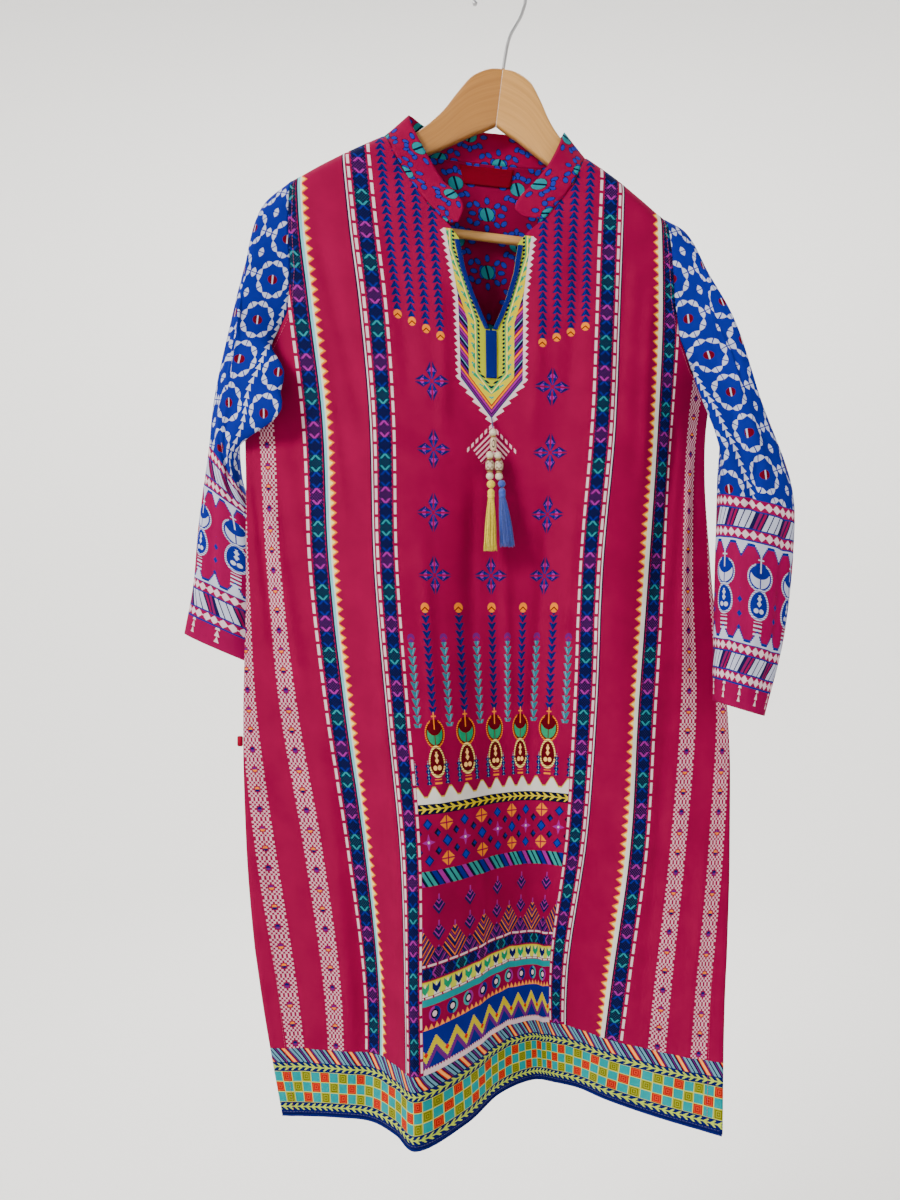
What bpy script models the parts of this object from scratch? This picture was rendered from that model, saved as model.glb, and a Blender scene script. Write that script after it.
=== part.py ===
"""Kurta dress hanging on a wooden hanger.

The origin is the inside top of the hanger's wire hook, where the whole thing is held.
X runs to the right seen from the front, Y away from the viewer, Z up. All sizes are in metres.
The cloth is worked out from its flat cut: u is the distance across from the centre front,
v the distance down from the neck point of the shoulder seam. Two tables say where the cloth's
main upright lines hang in space, and a smooth curve runs through them.
"""

import math

import bmesh
import bpy
import numpy as np
from mathutils import Matrix, Vector

# Driving dimensions
MM = 0.001
WALL = 1.2 * MM
SEAM_GAP = 0.35 * MM
COLLAR_WALL = 1.6 * MM
LENGTH = 1.029
NECK_POINT_DROP = 0.187
TILT = 0.11
TILT_FADES_BY = 0.45
NECK_HALF = 0.098
SHOULDER_HALF = 0.203
SHOULDER_FALL = 0.057
UNDERARM = 0.262
BACK_NECK_DROP = 0.008
SLIT_TOP = 0.626
SHOULDER_ROLL = 0.020
SIDE_SEAM_GAP = 2.9 * MM
HANGER_TOP = Vector((0.003, 0.0, -0.1007))
HANGER_TURN = math.radians(7.0)
HANGER_THICK = 0.012
BAR_RADIUS = 0.00475
BAR_DROP = 0.1781
BAR_HALF = 0.1985
WIRE_RADIUS = 0.0018
HOOK_RADIUS = 0.027

# The cut: half widths of the panels down the armhole and the side seam (v, half width)
SIDE_CUT = [(0.057, 0.203), (0.100, 0.207), (0.150, 0.210), (0.190, 0.219), (0.225, 0.243),
            (0.262, 0.290), (0.330, 0.297), (0.500, 0.309), (0.650, 0.323), (0.850, 0.338), (1.029, 0.345)]
# The cut: front neck line from the foot of the slit out to the shoulder (half width, v)
FRONT_NECK_CUT = [(0.0, 0.200), (0.008, 0.184), (0.017, 0.163), (0.025, 0.138), (0.030, 0.106),
                  (0.041, 0.0915), (0.058, 0.0756), (0.085, 0.0367), (0.098, 0.0)]

# Where the cloth's upright lines hang, in millimetres. One column for each line of the cut,
# named by its distance across, and one row for each height, named by its distance down.
LINES = [-345, -258, -205, -166, -126, -63, 0, 63, 126, 166, 205, 258, 345]
ACROSS = {
    0: [-350, -272, -222, -190, -152, -84, -13, 54, 116, 146, 172, 222, 300],
    105: [-346, -268, -219, -181, -140, -77, -13, 50, 111, 144, 176, 226, 300],
    179: [-340, -262, -210, -171, -130, -71, -11, 49, 108, 142, 176, 216, 280],
    288: [-300, -249, -196, -158, -121, -66, -10, 47, 103, 138, 171, 203, 238],
    438: [-292, -240, -189, -152, -117, -65, -10, 43, 91, 126, 163, 197, 243],
    589: [-295, -224, -172, -137, -105, -55, -6, 38, 87, 119, 152, 198, 258],
    738: [-286, -198, -151, -120, -92, -45, -1, 38, 82, 112, 145, 186, 252],
    889: [-262, -178, -135, -111, -90, -44, -2, 36, 67, 98, 129, 172, 238],
    1029: [-234, -173, -135, -109, -88, -36, 2, 42, 70, 95, 119, 164, 229],
}
DEPTH = {
    0: [-8, -14, -18, -20, -20, -18, -16, -18, -20, -20, -18, -14, -8],
    105: [-8, -13, -19, -24, -26, -26, -25, -26, -26, -24, -19, -13, -8],
    179: [-4, -9, -18, -26, -30, -30, -26, -29, -30, -26, -18, -9, -4],
    288: [2, -2, -15, -26, -32, -30, -22, -26, -32, -28, -16, -4, 2],
    438: [4, -3, -14, -26, -34, -28, -8, -10, -26, -26, -14, -6, 0],
    589: [6, -3, -12, -26, -38, -24, 6, 12, -12, -20, -14, -8, -4],
    738: [8, -1, -8, -26, -42, -18, 22, 38, 22, 4, -6, -10, -10],
    889: [12, 4, -1, -24, -46, -10, 42, 66, 56, 36, 14, -2, -16],
    1029: [16, 12, 4, -20, -48, 0, 58, 88, 82, 70, 48, 16, -22],
}
# Depth of the hollow between front and back (v, depth)
HOLLOW = [(0.0, 0.036), (0.179, 0.042), (0.288, 0.040), (0.438, 0.034), (0.738, 0.028), (1.029, 0.022)]

# Sleeves, in millimetres: one row for each section from the armhole to the cuff.
# outer x, outer z, inner x, inner z: the two edges of the flattened tube; middle: its depth;
# half: half its thickness; bulge, forward: the underarm cloth that falls in over the front.
SLEEVE_LEFT = [
    (-250, -246, -276, -446, 0, 25, 46, 6),
    (-266, -300, -278, -468, 2, 28, 50, 12),
    (-282, -362, -279, -486, 6, 29, 50, 18),
    (-303, -440, -281, -510, 16, 27, 0, 0),
    (-318, -503, -276, -548, 36, 21, 0, 0),
    (-331, -580, -240, -605, 43, 20, 0, 0),
    (-337, -645, -236, -675, 44, 20, 0, 0),
    (-347, -699, -234, -746, 44, 21, 0, 0),
]
SLEEVE_RIGHT = [
    (194, -275, 229, -452, -2, 26, -28, 10),
    (213, -318, 230, -476, -12, 27, -26, 12),
    (238, -378, 228, -504, -28, 26, -18, 9),
    (262, -462, 220, -536, -40, 22, -4, 4),
    (291, -545, 217, -590, -43, 21, 0, 0),
    (293, -612, 215, -650, -44, 21, 0, 0),
    (283, -700, 214, -715, -44, 22, 0, 0),
    (263, -779, 213, -764, -45, 22, 0, 0),
]
# Collar: cut line u and side of each station, and the way from seam to top edge, in millimetres
COLLAR = [
    (-0.041, "front", 11, 0, 1), (-0.050, "front", 26, -1, 8), (-0.064, "front", 32, 0, 6),
    (-0.078, "front", 36, 2, -3), (-0.090, "front", 32, 4, 4), (-0.098, "front", 26, -1, 22),
    (-0.070, "back", 14, 3, 30), (-0.035, "back", 3, 4, 35), (0.0, "back", 0, 4, 36),
    (0.035, "back", -3, 4, 36), (0.070, "back", -12, 3, 33), (0.091, "back", -18, 2, 31),
    (0.098, "front", -23, -1, 27), (0.090, "front", -28, 2, 14), (0.080, "front", -33, 2, 11),
    (0.068, "front", -36, 0, 10), (0.060, "front", -34, -1, 7), (0.056, "front", -22, 0, 3),
]
# Hanger arm, in millimetres: distance out, drop of its top edge, drop of its lower edge
ARM = [(0.15, 0, 60), (12, 1, 67), (22, 5, 72), (32, 12, 78), (45, 31, 86), (55, 48, 92), (66, 62, 98),
       (80, 76, 106), (98, 90, 116), (120, 107, 129), (150, 122, 146), (186, 144, 167), (198, 154, 173), (203, 160, 168)]
# Beads, in millimetres: name, x, z, diameter, height (0 for a ball)
BEADS = [
    ("bead_top", -8.7, -490.2, 8.0, 0), ("bead_barrel", -8.5, -502.1, 7.0, 15.0),
    ("bead_left_1", -12.0, -513.3, 8.0, 0), ("bead_right_1", -3.6, -513.7, 8.0, 0),
    ("bead_left_carved", -12.0, -524.1, 9.0, 12.8), ("bead_right_carved", -2.65, -524.5, 9.0, 12.8),
    ("bead_left_2", -12.0, -534.9, 8.0, 0), ("bead_right_2", -2.6, -535.3, 8.0, 0),
    ("bead_yellow", -10.8, -543.4, 8.6, 0), ("bead_blue", 0.2, -542.9, 7.8, 0),
]
# Tassels, in millimetres: name, x, z of the head's top, head radius, foot radius, foot z, foot x
TASSELS = [
    ("tassel_yellow", -10.8, -548.1, 3.4, 7.6, -612, -11.8),
    ("tassel_blue", 0.6, -547.2, 3.4, 8.4, -608, 6.2),
]
PENDANT_DEPTH = -0.0290

CLOTH_MAGENTA = (0.42, 0.0, 0.075, 1)
CLOTH_BACK = (0.34, 0.0, 0.06, 1)
CLOTH_BLUE = (0.02, 0.06, 0.36, 1)
NAVY = (0.01, 0.02, 0.11, 1)
LABEL_RED = (0.22, 0.0, 0.03, 1)
WOOD_LEFT = (0.42, 0.22, 0.08, 1)
WOOD_RIGHT = (0.58, 0.35, 0.15, 1)
STEEL = (0.45, 0.45, 0.46, 1)
BONE = (0.70, 0.60, 0.42, 1)
YELLOW = (0.75, 0.42, 0.02, 1)
BEAD_BLUE = (0.03, 0.10, 0.50, 1)


def curve_through(keys, values, at):
    """A smooth curve through the values, read at one or many places."""
    keys = np.asarray(keys, float)
    values = np.asarray(values, float)
    at = np.clip(np.asarray(at, float), keys[0], keys[-1])
    steps = np.diff(values) / np.diff(keys)
    slopes = np.concatenate(([steps[0]], (steps[1:] + steps[:-1]) / 2, [steps[-1]]))
    i = np.clip(np.searchsorted(keys, at, side="right") - 1, 0, len(keys) - 2)
    gap = keys[i + 1] - keys[i]
    t = (at - keys[i]) / gap
    a = (1 + 2 * t) * (1 - t) ** 2 * values[i] + t * (1 - t) ** 2 * gap * slopes[i]
    return a + t * t * (3 - 2 * t) * values[i + 1] + t * t * (t - 1) * gap * slopes[i + 1]


def ease(t):
    t = min(max(t, 0.0), 1.0)
    return t * t * (3 - 2 * t)


def rolled(distance):
    """How far the cloth has rolled over the hanger's edge, this far below the shoulder seam."""
    t = min(max(distance / SHOULDER_ROLL, 0.0), 1.0)
    return math.sqrt(1 - (1 - t) ** 2)


def read_table(table, u, v):
    """The value of a table of lines at one point of the cut."""
    rows = sorted(table)
    line = [float(curve_through(LINES, table[row], u / MM)) for row in rows]
    return float(curve_through(rows, line, v / MM)) * MM


def half_width(v):
    return float(np.interp(v, [p[0] for p in SIDE_CUT], [p[1] for p in SIDE_CUT]))


def shoulder_line(u):
    return SHOULDER_FALL * max(abs(u) - NECK_HALF, 0.0) / (SHOULDER_HALF - NECK_HALF)


def front_top(u):
    """How far down the front panel starts on this line of the cut."""
    if abs(u) >= NECK_HALF:
        return shoulder_line(u)
    return float(np.interp(abs(u), [p[0] for p in FRONT_NECK_CUT], [p[1] for p in FRONT_NECK_CUT]))


def back_top(u):
    if abs(u) >= NECK_HALF:
        return shoulder_line(u)
    return BACK_NECK_DROP * (1 - (abs(u) / NECK_HALF) ** 6)


def front_point(u, v):
    """A point of the front's outer face."""
    x = read_table(ACROSS, u, v)
    roll = rolled(v - shoulder_line(u))
    y = -2.5 * MM + (read_table(DEPTH, u, v) + 2.5 * MM) * roll
    z = -(NECK_POINT_DROP + v) - TILT * x * (1 - ease(v / TILT_FADES_BY))
    return Vector((x, y, z))


def hollow(u, v):
    """Distance from the front's outer face to the back's outer face."""
    deep = float(np.interp(v, [p[0] for p in HOLLOW], [p[1] for p in HOLLOW]))
    over = rolled(v - shoulder_line(u))
    open_arm = 1 - min(max((v - SHOULDER_FALL) / (UNDERARM - SHOULDER_FALL), 0.0), 1.0) ** 3
    edge = min(abs(u) / half_width(v), 1.0) ** 5
    across = 1 - edge * (1 - 0.85 * open_arm)
    if v > SLIT_TOP:
        across = max(across, 0.35 * ease((v - SLIT_TOP) / 0.15))
    return SIDE_SEAM_GAP + (deep - SIDE_SEAM_GAP) * over * across


def back_point(u, v):
    """A point of the back's outer face."""
    point = front_point(u, v)
    point.y += hollow(u, v)
    return point


def rows_down(count):
    """Rows of a panel from top to hem, as shares of its length, closer where it rolls over the hanger."""
    return [0.0, 0.0025, 0.008, 0.018, 0.036, *np.linspace(0.066, 1, count)]


def cut_place(s, down, top):
    """The place on the cut of a grid point: s runs from side to side, down from top to hem."""
    side_v = SHOULDER_FALL + (LENGTH - SHOULDER_FALL) * down
    start = top(s * SHOULDER_HALF)
    return s * half_width(side_v), start + (LENGTH - start) * down


def moved_out(point_at, u, v, distance):
    """A point of a panel, moved square to the cloth towards its outer side."""
    step = 2 * MM
    here = point_at(u, v)
    across = point_at(u + step, v) - here
    down = point_at(u, v + step) - here
    normal = across.cross(down).normalized()
    side = -1.0 if point_at is front_point else 1.0
    if normal.y * side < 0:
        normal = -normal
    return here + normal * distance


def new_material(name, colour, roughness, metallic=0.0):
    material = bpy.data.materials.new(name)
    material.use_nodes = True
    shader = material.node_tree.nodes["Principled BSDF"]
    shader.inputs["Base Color"].default_value = colour
    shader.inputs["Roughness"].default_value = roughness
    shader.inputs["Metallic"].default_value = metallic
    return material


def add_object(name, mesh, material):
    mesh.materials.clear()
    mesh.materials.append(material)
    mesh.shade_smooth()
    piece = bpy.data.objects.new(name, mesh)
    dress.objects.link(piece)
    return piece


def grid_mesh(name, points, closed=False, flip=False):
    """An open sheet through rows of points; closed joins the last column to the first."""
    mesh = bpy.data.meshes.new(name)
    rows, columns = len(points), len(points[0])
    faces = []
    for i in range(rows - 1):
        for j in range(columns if closed else columns - 1):
            k = (j + 1) % columns
            quad = [i * columns + j, (i + 1) * columns + j, (i + 1) * columns + k, i * columns + k]
            faces.append(quad[::-1] if flip else quad)
    mesh.from_pydata([tuple(p) for row in points for p in row], [], faces)
    return mesh


def give_wall(piece, thickness, offset=-1.0):
    wall = piece.modifiers.new("wall", "SOLIDIFY")
    wall.thickness = thickness
    wall.offset = offset
    wall.use_even_offset = False
    return piece


def panel(name, point_at, top, columns, rows, material, flip):
    """A body panel as a sheet with a wall on its inner side."""
    spread = [math.copysign(abs(s) ** 1.1, s) for s in np.linspace(-1, 1, columns)]
    grid = []
    for down in rows_down(rows):
        places = [cut_place(s, down, top) for s in spread]
        grid.append([point_at(u, v) for u, v in places])
    return give_wall(add_object(name, grid_mesh(name, grid, flip=flip), material), WALL)


def armhole_loop(side, count):
    """The armhole's edge, from the shoulder down the front, and up the back."""
    loop = []
    for k in range(count):
        turn = 2 * k / count
        down = turn if turn <= 1 else 2 - turn
        v = SHOULDER_FALL + (UNDERARM - SHOULDER_FALL) * (1 - math.cos(math.pi * down)) / 2
        point_at = front_point if turn <= 1 else back_point
        point = point_at(side * half_width(v), v)
        point.x += side * (SEAM_GAP + (WALL / 2 if turn <= 1 else 3.9 * WALL))
        point.z += 0.5 * MM if turn <= 1 else 1.6 * MM
        if turn == 0:
            point.y += SIDE_SEAM_GAP / 2
            point.z += WALL
        if turn == 1:
            point.y += SIDE_SEAM_GAP / 2
            point.x += side * WALL
        loop.append(point)
    return loop


def sleeve_ring(row, count):
    outer_x, outer_z, inner_x, inner_z, middle, half, bulge, forward = [value * MM for value in row]
    ring = []
    for k in range(count):
        angle = 2 * math.pi * k / count
        along = (1 + math.cos(angle)) / 2
        swell = math.exp(-((math.degrees(angle) - 140) / 24) ** 2)
        x = inner_x + (outer_x - inner_x) * along + bulge * swell
        z = inner_z + (outer_z - inner_z) * along
        y = middle - half * math.copysign(abs(math.sin(angle)) ** 0.8, math.sin(angle)) - forward * swell
        ring.append(Vector((x, y, z)))
    return ring


def sleeve(name, side, table, count, rows, material):
    stations = [armhole_loop(side, count)] + [sleeve_ring(row, count) for row in table]
    places = [0, 0.09] + list(np.linspace(0.22, 1, len(table) - 1))
    grid = []
    for t in np.linspace(0, 1, rows) ** 1.15:
        ring = []
        for k in range(count):
            ring.append(Vector([float(curve_through(places, [s[k][axis] for s in stations], t)) for axis in range(3)]))
        grid.append(ring)
    piece = add_object(name, grid_mesh(name, grid, closed=True, flip=side > 0), material)
    return give_wall(piece, WALL)


def collar_band(material):
    """The stand collar, from its left front end round the back neck to its right front end."""
    seam, edge = [], []
    for u, panel_side, dx, dy, dz in COLLAR:
        rise = Vector((dx, dy, dz)) * MM
        start = front_point(u, front_top(u)) if panel_side == "front" else back_point(u, back_top(u))
        if panel_side == "front":
            start.y -= COLLAR_WALL / 2 * (1 - abs(u) / NECK_HALF)
        seam.append(start + rise.normalized() * (SEAM_GAP + COLLAR_WALL))
        edge.append(start + rise)
    places = np.linspace(0, 1, len(COLLAR))
    grid = []
    for w in (0.0, 0.33, 0.67, 1.0):
        line = []
        for t in np.linspace(0, 1, 37):
            low = Vector([float(curve_through(places, [p[axis] for p in seam], t)) for axis in range(3)])
            high = Vector([float(curve_through(places, [p[axis] for p in edge], t)) for axis in range(3)])
            line.append(low.lerp(high, w))
        grid.append(line)
    return give_wall(add_object("collar", grid_mesh("collar", grid), material), COLLAR_WALL, 0.0)


def strip_on_panel(name, point_at, places, lift, thickness, material, flip):
    """A strip of cloth lying on a panel: rows of places on the cut, moved out from the panel."""
    grid = [[moved_out(point_at, u, v, lift) for u, v in row] for row in places]
    return give_wall(add_object(name, grid_mesh(name, grid, flip=flip), material), thickness, 1.0)


def neck_binding(name, side, material):
    width = 5 * MM
    rows = []
    for v in np.linspace(0.110, 0.196, 10):
        inner = float(np.interp(-v, [-p[1] for p in FRONT_NECK_CUT], [p[0] for p in FRONT_NECK_CUT]))
        inner += 0.4 * MM
        rows.append([(side * (inner + width * w), v) for w in (0.0, 0.5, 1.0)])
    return strip_on_panel(name, front_point, rows, SEAM_GAP, 0.9 * MM, material, side < 0)


def tube(name, points, radius, material, sides=1):
    """A round tube along a line of points, with closed ends."""
    curve = bpy.data.curves.new(name, "CURVE")
    curve.dimensions = "3D"
    curve.bevel_depth = radius
    curve.bevel_resolution = sides
    curve.use_fill_caps = True
    spline = curve.splines.new("POLY")
    spline.points.add(len(points) - 1)
    for target, point in zip(spline.points, points):
        target.co = (*point, 1)
    curve.materials.append(material)
    piece = bpy.data.objects.new(name, curve)
    dress.objects.link(piece)
    return piece


def hanger_place(out, drop, depth):
    """A point given in the hanger's own frame, turned as the hanger hangs."""
    turned = Matrix.Rotation(HANGER_TURN, 3, "Y") @ Vector((out, depth, -drop))
    return HANGER_TOP + turned


def hanger_arm(name, side, material):
    """One arm as a loft of rounded sections along its length."""
    count = 12
    points = []
    for out, top, low in ARM:
        middle, half = (top + low) / 2 * MM, (low - top) / 2 * MM
        thick = HANGER_THICK / 2 * min(1.0, 0.55 + half / (22 * MM))
        ring = []
        for k in range(count):
            angle = 2 * math.pi * k / count
            up = math.copysign(abs(math.cos(angle)) ** 0.55, math.cos(angle))
            deep = math.copysign(abs(math.sin(angle)) ** 0.45, math.sin(angle))
            ring.append(hanger_place(side * out * MM, middle - half * up, thick * deep))
        points.append(ring)
    mesh = grid_mesh(name, points, closed=True)
    shell = bmesh.new()
    shell.from_mesh(mesh)
    bmesh.ops.holes_fill(shell, edges=[e for e in shell.edges if e.is_boundary], sides=0)
    bmesh.ops.recalc_face_normals(shell, faces=shell.faces)
    shell.to_mesh(mesh)
    shell.free()
    piece = add_object(name, mesh, material)
    mesh.set_sharp_from_angle(angle=math.radians(50))
    return piece


def hook_points():
    centre = Vector((0, 0, WIRE_RADIUS - HOOK_RADIUS))
    arc = []
    for degrees in range(196, -21, -12):
        angle = math.radians(degrees)
        arc.append(centre + HOOK_RADIUS * Vector((math.cos(angle), 0, math.sin(angle))))
    shank = [Vector((x * MM, 0, z * MM)) for x, z in ((22, -44), (16.5, -54), (11.5, -63), (8, -74), (5.5, -87), (3.5, -99.8))]
    return arc + shank


def bead(name, x, z, diameter, height, material):
    mesh = bpy.data.meshes.new(name)
    shape = bmesh.new()
    if height:
        bmesh.ops.create_uvsphere(shape, u_segments=10, v_segments=6, radius=0.5)
        for vertex in shape.verts:
            vertex.co.z = math.copysign(abs(vertex.co.z * 2) ** 0.6 / 2, vertex.co.z)
        bmesh.ops.scale(shape, vec=(diameter * MM, diameter * MM, height * MM), verts=shape.verts)
    else:
        bmesh.ops.create_uvsphere(shape, u_segments=10, v_segments=6, radius=diameter * MM / 2)
    shape.to_mesh(mesh)
    shape.free()
    piece = add_object(name, mesh, material)
    piece.location = (x * MM, PENDANT_DEPTH + 1.2 * MM, z * MM)
    return piece


def tassel(name, x, top, head, foot, foot_z, foot_x, material):
    """A bound head whose lower face runs out into strands that stand apart."""
    cells = 5
    head_height = 10.0
    shape = bmesh.new()
    bmesh.ops.create_grid(shape, x_segments=cells, y_segments=cells, size=1.0)
    for vertex in shape.verts:
        a, b = vertex.co.x, vertex.co.y
        vertex.co.x = a * math.sqrt(1 - b * b / 2)
        vertex.co.y = b * math.sqrt(1 - a * a / 2)
    under = list(shape.faces)
    rim = [e for e in shape.edges if e.is_boundary]
    bmesh.ops.scale(shape, vec=(head, head, 1), verts=shape.verts)
    for scale, rise in ((1.05, 2.5), (0.92, 3.0), (1.05, 2.5), (0.55, 2.0)):
        grown = bmesh.ops.extrude_edge_only(shape, edges=rim)["geom"]
        verts = [g for g in grown if isinstance(g, bmesh.types.BMVert)]
        rim = [g for g in grown if isinstance(g, bmesh.types.BMEdge) and g.is_boundary]
        for vertex in verts:
            reach = math.hypot(vertex.co.x, vertex.co.y)
            vertex.co.x *= head * scale / reach
            vertex.co.y *= head * scale / reach
            vertex.co.z += rise
    bmesh.ops.holes_fill(shape, edges=rim, sides=0)
    bmesh.ops.recalc_face_normals(shape, faces=shape.faces)
    bmesh.ops.inset_individual(shape, faces=under, thickness=0.16)
    steps = 3
    length = abs(foot_z - top) - head_height
    tips = under
    for step in range(1, steps + 1):
        tips = bmesh.ops.extrude_discrete_faces(shape, faces=tips)["faces"]
        spread = 1 + (foot / head - 1) * (step / steps) ** 0.8
        before = 1 + (foot / head - 1) * ((step - 1) / steps) ** 0.8 if step > 1 else 1
        for face in tips:
            centre = face.calc_center_median()
            shift = Vector((centre.x, centre.y, 0)) * (spread / before - 1)
            shift.x += (foot_x - x) / steps
            shift.z = -length / steps
            for vertex in face.verts:
                vertex.co += shift
    bmesh.ops.scale(shape, vec=(MM, MM, MM), verts=shape.verts)
    bmesh.ops.translate(shape, vec=(0, 0, -head_height * MM), verts=shape.verts)
    mesh = bpy.data.meshes.new(name)
    shape.to_mesh(mesh)
    shape.free()
    piece = add_object(name, mesh, material)
    piece.location = (x * MM, PENDANT_DEPTH, top * MM)
    return piece


def side_tab(material):
    """A small folded loop of cloth in the left side seam, at the top of the slit."""
    mesh = bpy.data.meshes.new("side_tab")
    shape = bmesh.new()
    bmesh.ops.create_cube(shape, size=1.0)
    bmesh.ops.scale(shape, vec=(6 * MM, 2.4 * MM, 11 * MM), verts=shape.verts)
    bmesh.ops.bevel(shape, geom=shape.edges[:], offset=0.8 * MM, segments=2, affect="EDGES")
    shape.to_mesh(mesh)
    shape.free()
    piece = add_object("side_tab", mesh, material)
    seat = front_point(-half_width(SLIT_TOP), SLIT_TOP)
    piece.location = seat + Vector((-3.4 * MM - SEAM_GAP, 1.5 * MM, 0))
    return piece


for old in list(bpy.data.objects):
    bpy.data.objects.remove(old, do_unlink=True)
dress = bpy.data.collections.new("kurta dress on a hanger")
bpy.context.scene.collection.children.link(dress)

magenta = new_material("printed magenta cotton", CLOTH_MAGENTA, 0.85)
back_cloth = new_material("petal print cotton", CLOTH_BACK, 0.85)
blue_cloth = new_material("printed blue cotton", CLOTH_BLUE, 0.85)
navy = new_material("navy binding", NAVY, 0.8)

panel("front_panel", front_point, front_top, 37, 28, magenta, False)
panel("back_panel", back_point, back_top, 25, 21, back_cloth, True)
sleeve("sleeve_left", -1, SLEEVE_LEFT, 20, 18, blue_cloth)
sleeve("sleeve_right", 1, SLEEVE_RIGHT, 20, 18, blue_cloth)
collar_band(back_cloth)
neck_binding("neck_binding_left", -1, navy)
neck_binding("neck_binding_right", 1, navy)
placket = [[(u, v) for u in (-0.006, 0.0, 0.006)] for v in np.linspace(0.2015, 0.247, 6)]
strip_on_panel("placket", front_point, placket, SEAM_GAP, 1.2 * MM, navy, False)
for piece_name, point_at in (("hem_piping_front", front_point), ("hem_piping_back", back_point)):
    wall_side = 0.5 if point_at is front_point else -0.5
    line = [point_at(u, LENGTH) + Vector((0, wall_side * WALL, -1.4 * MM)) for u in np.linspace(-0.344, 0.344, 40)]
    tube(piece_name, line, 1.0 * MM, navy)
label = new_material("label", LABEL_RED, 0.6)
label_rows = []
for w in np.linspace(0, 1, 4):
    half_label = (27 - 4 * w) * MM
    label_rows.append([back_point(u, BACK_NECK_DROP + (3 + 20 * w) * MM) + Vector((0, -WALL - SEAM_GAP - 1.0 * MM * w, 0))
                       for u in np.linspace(-half_label, half_label, 6)])
give_wall(add_object("neck_label", grid_mesh("neck_label", label_rows), label), 0.6 * MM, 1.0)
side_tab(new_material("red tab", CLOTH_MAGENTA, 0.8))

hanger_arm("hanger_arm_left", -1, new_material("darker wood", WOOD_LEFT, 0.5))
hanger_arm("hanger_arm_right", 1, new_material("lighter wood", WOOD_RIGHT, 0.5))
bar_line = [hanger_place(out, BAR_DROP, 0.0) for out in (-BAR_HALF, 0.0, BAR_HALF)]
tube("hanger_bar", bar_line, BAR_RADIUS, new_material("bar wood", WOOD_RIGHT, 0.5), 3)
steel = new_material("steel wire", STEEL, 0.3, 1.0)
tube("hanger_hook", hook_points(), WIRE_RADIUS, steel, 2)

bone = new_material("bone beads", BONE, 0.4)
yellow = new_material("yellow thread", YELLOW, 0.8)
bead_blue = new_material("blue thread", BEAD_BLUE, 0.8)
bead_materials = {"bead_yellow": yellow, "bead_blue": bead_blue}
for bead_name, bead_x, bead_z, diameter, height in BEADS:
    bead(bead_name, bead_x, bead_z, diameter, height, bead_materials.get(bead_name, bone))
for row, thread in zip(TASSELS, (yellow, bead_blue)):
    tassel(*row, thread)
thread_top = moved_out(front_point, 0.0, 0.287, 0.95 * MM)
tube("pendant_thread", [thread_top, Vector((-8.7 * MM, PENDANT_DEPTH + 1.2 * MM, -485.7 * MM))], 0.6 * MM, navy)
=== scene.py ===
import math
import random

import bmesh
import bpy
import numpy as np
from mathutils import Matrix, Vector


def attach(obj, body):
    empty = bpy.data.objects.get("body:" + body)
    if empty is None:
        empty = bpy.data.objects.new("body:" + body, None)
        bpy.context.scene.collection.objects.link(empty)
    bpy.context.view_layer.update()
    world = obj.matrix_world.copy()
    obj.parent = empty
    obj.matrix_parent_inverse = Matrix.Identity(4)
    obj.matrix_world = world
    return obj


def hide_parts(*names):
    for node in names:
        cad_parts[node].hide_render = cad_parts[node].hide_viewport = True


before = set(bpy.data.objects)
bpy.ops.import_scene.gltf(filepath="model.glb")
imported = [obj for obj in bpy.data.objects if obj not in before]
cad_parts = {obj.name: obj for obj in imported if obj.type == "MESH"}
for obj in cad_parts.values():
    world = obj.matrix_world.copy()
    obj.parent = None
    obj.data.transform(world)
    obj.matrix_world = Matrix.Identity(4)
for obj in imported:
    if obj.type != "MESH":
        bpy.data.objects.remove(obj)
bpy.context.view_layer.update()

# Front panel
# One length of light printed cotton, cut wider towards the hem and slit down the middle of the neck.
# It hangs in soft upright folds from the hanger's arms, and its hem is piped in navy.

MM = 0.001
WALL = 1.2 * MM
LENGTH = 1.029
NECK_HALF = 0.098
SHOULDER_HALF = 0.203
SHOULDER_FALL = 0.057
UNDERARM = 0.262
SLIT_TOP = 0.626
SIDE_SEAM_GAP = 2.9 * MM

# The cut: (v, half width) down the side, and (half width, v) along the front neck line
SIDE_CUT = [(0.057, 0.203), (0.100, 0.207), (0.150, 0.210), (0.190, 0.219), (0.225, 0.243),
            (0.262, 0.290), (0.330, 0.297), (0.500, 0.309), (0.650, 0.323), (0.850, 0.338), (1.029, 0.345)]
FRONT_NECK_CUT = [(0.0, 0.200), (0.008, 0.184), (0.017, 0.163), (0.025, 0.138), (0.030, 0.106),
                  (0.041, 0.0915), (0.058, 0.0756), (0.085, 0.0367), (0.098, 0.0)]

# Where the cloth's upright lines hang, in millimetres: one column for each line of the cut,
# named by its distance across, and one row for each height, named by its distance down
LINES = [-345, -258, -205, -166, -126, -63, 0, 63, 126, 166, 205, 258, 345]
ACROSS = {
    0: [-350, -272, -222, -190, -152, -84, -13, 54, 116, 146, 172, 222, 300],
    105: [-346, -268, -219, -181, -140, -77, -13, 50, 111, 144, 176, 226, 300],
    179: [-340, -262, -210, -171, -130, -71, -11, 49, 108, 142, 176, 216, 280],
    288: [-300, -249, -196, -158, -121, -66, -10, 47, 103, 138, 171, 203, 238],
    438: [-292, -240, -189, -152, -117, -65, -10, 43, 91, 126, 163, 197, 243],
    589: [-295, -224, -172, -137, -105, -55, -6, 38, 87, 119, 152, 198, 258],
    738: [-286, -198, -151, -120, -92, -45, -1, 38, 82, 112, 145, 186, 252],
    889: [-262, -178, -135, -111, -90, -44, -2, 36, 67, 98, 129, 172, 238],
    1029: [-234, -173, -135, -109, -88, -36, 2, 42, 70, 95, 119, 164, 229],
}
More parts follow.
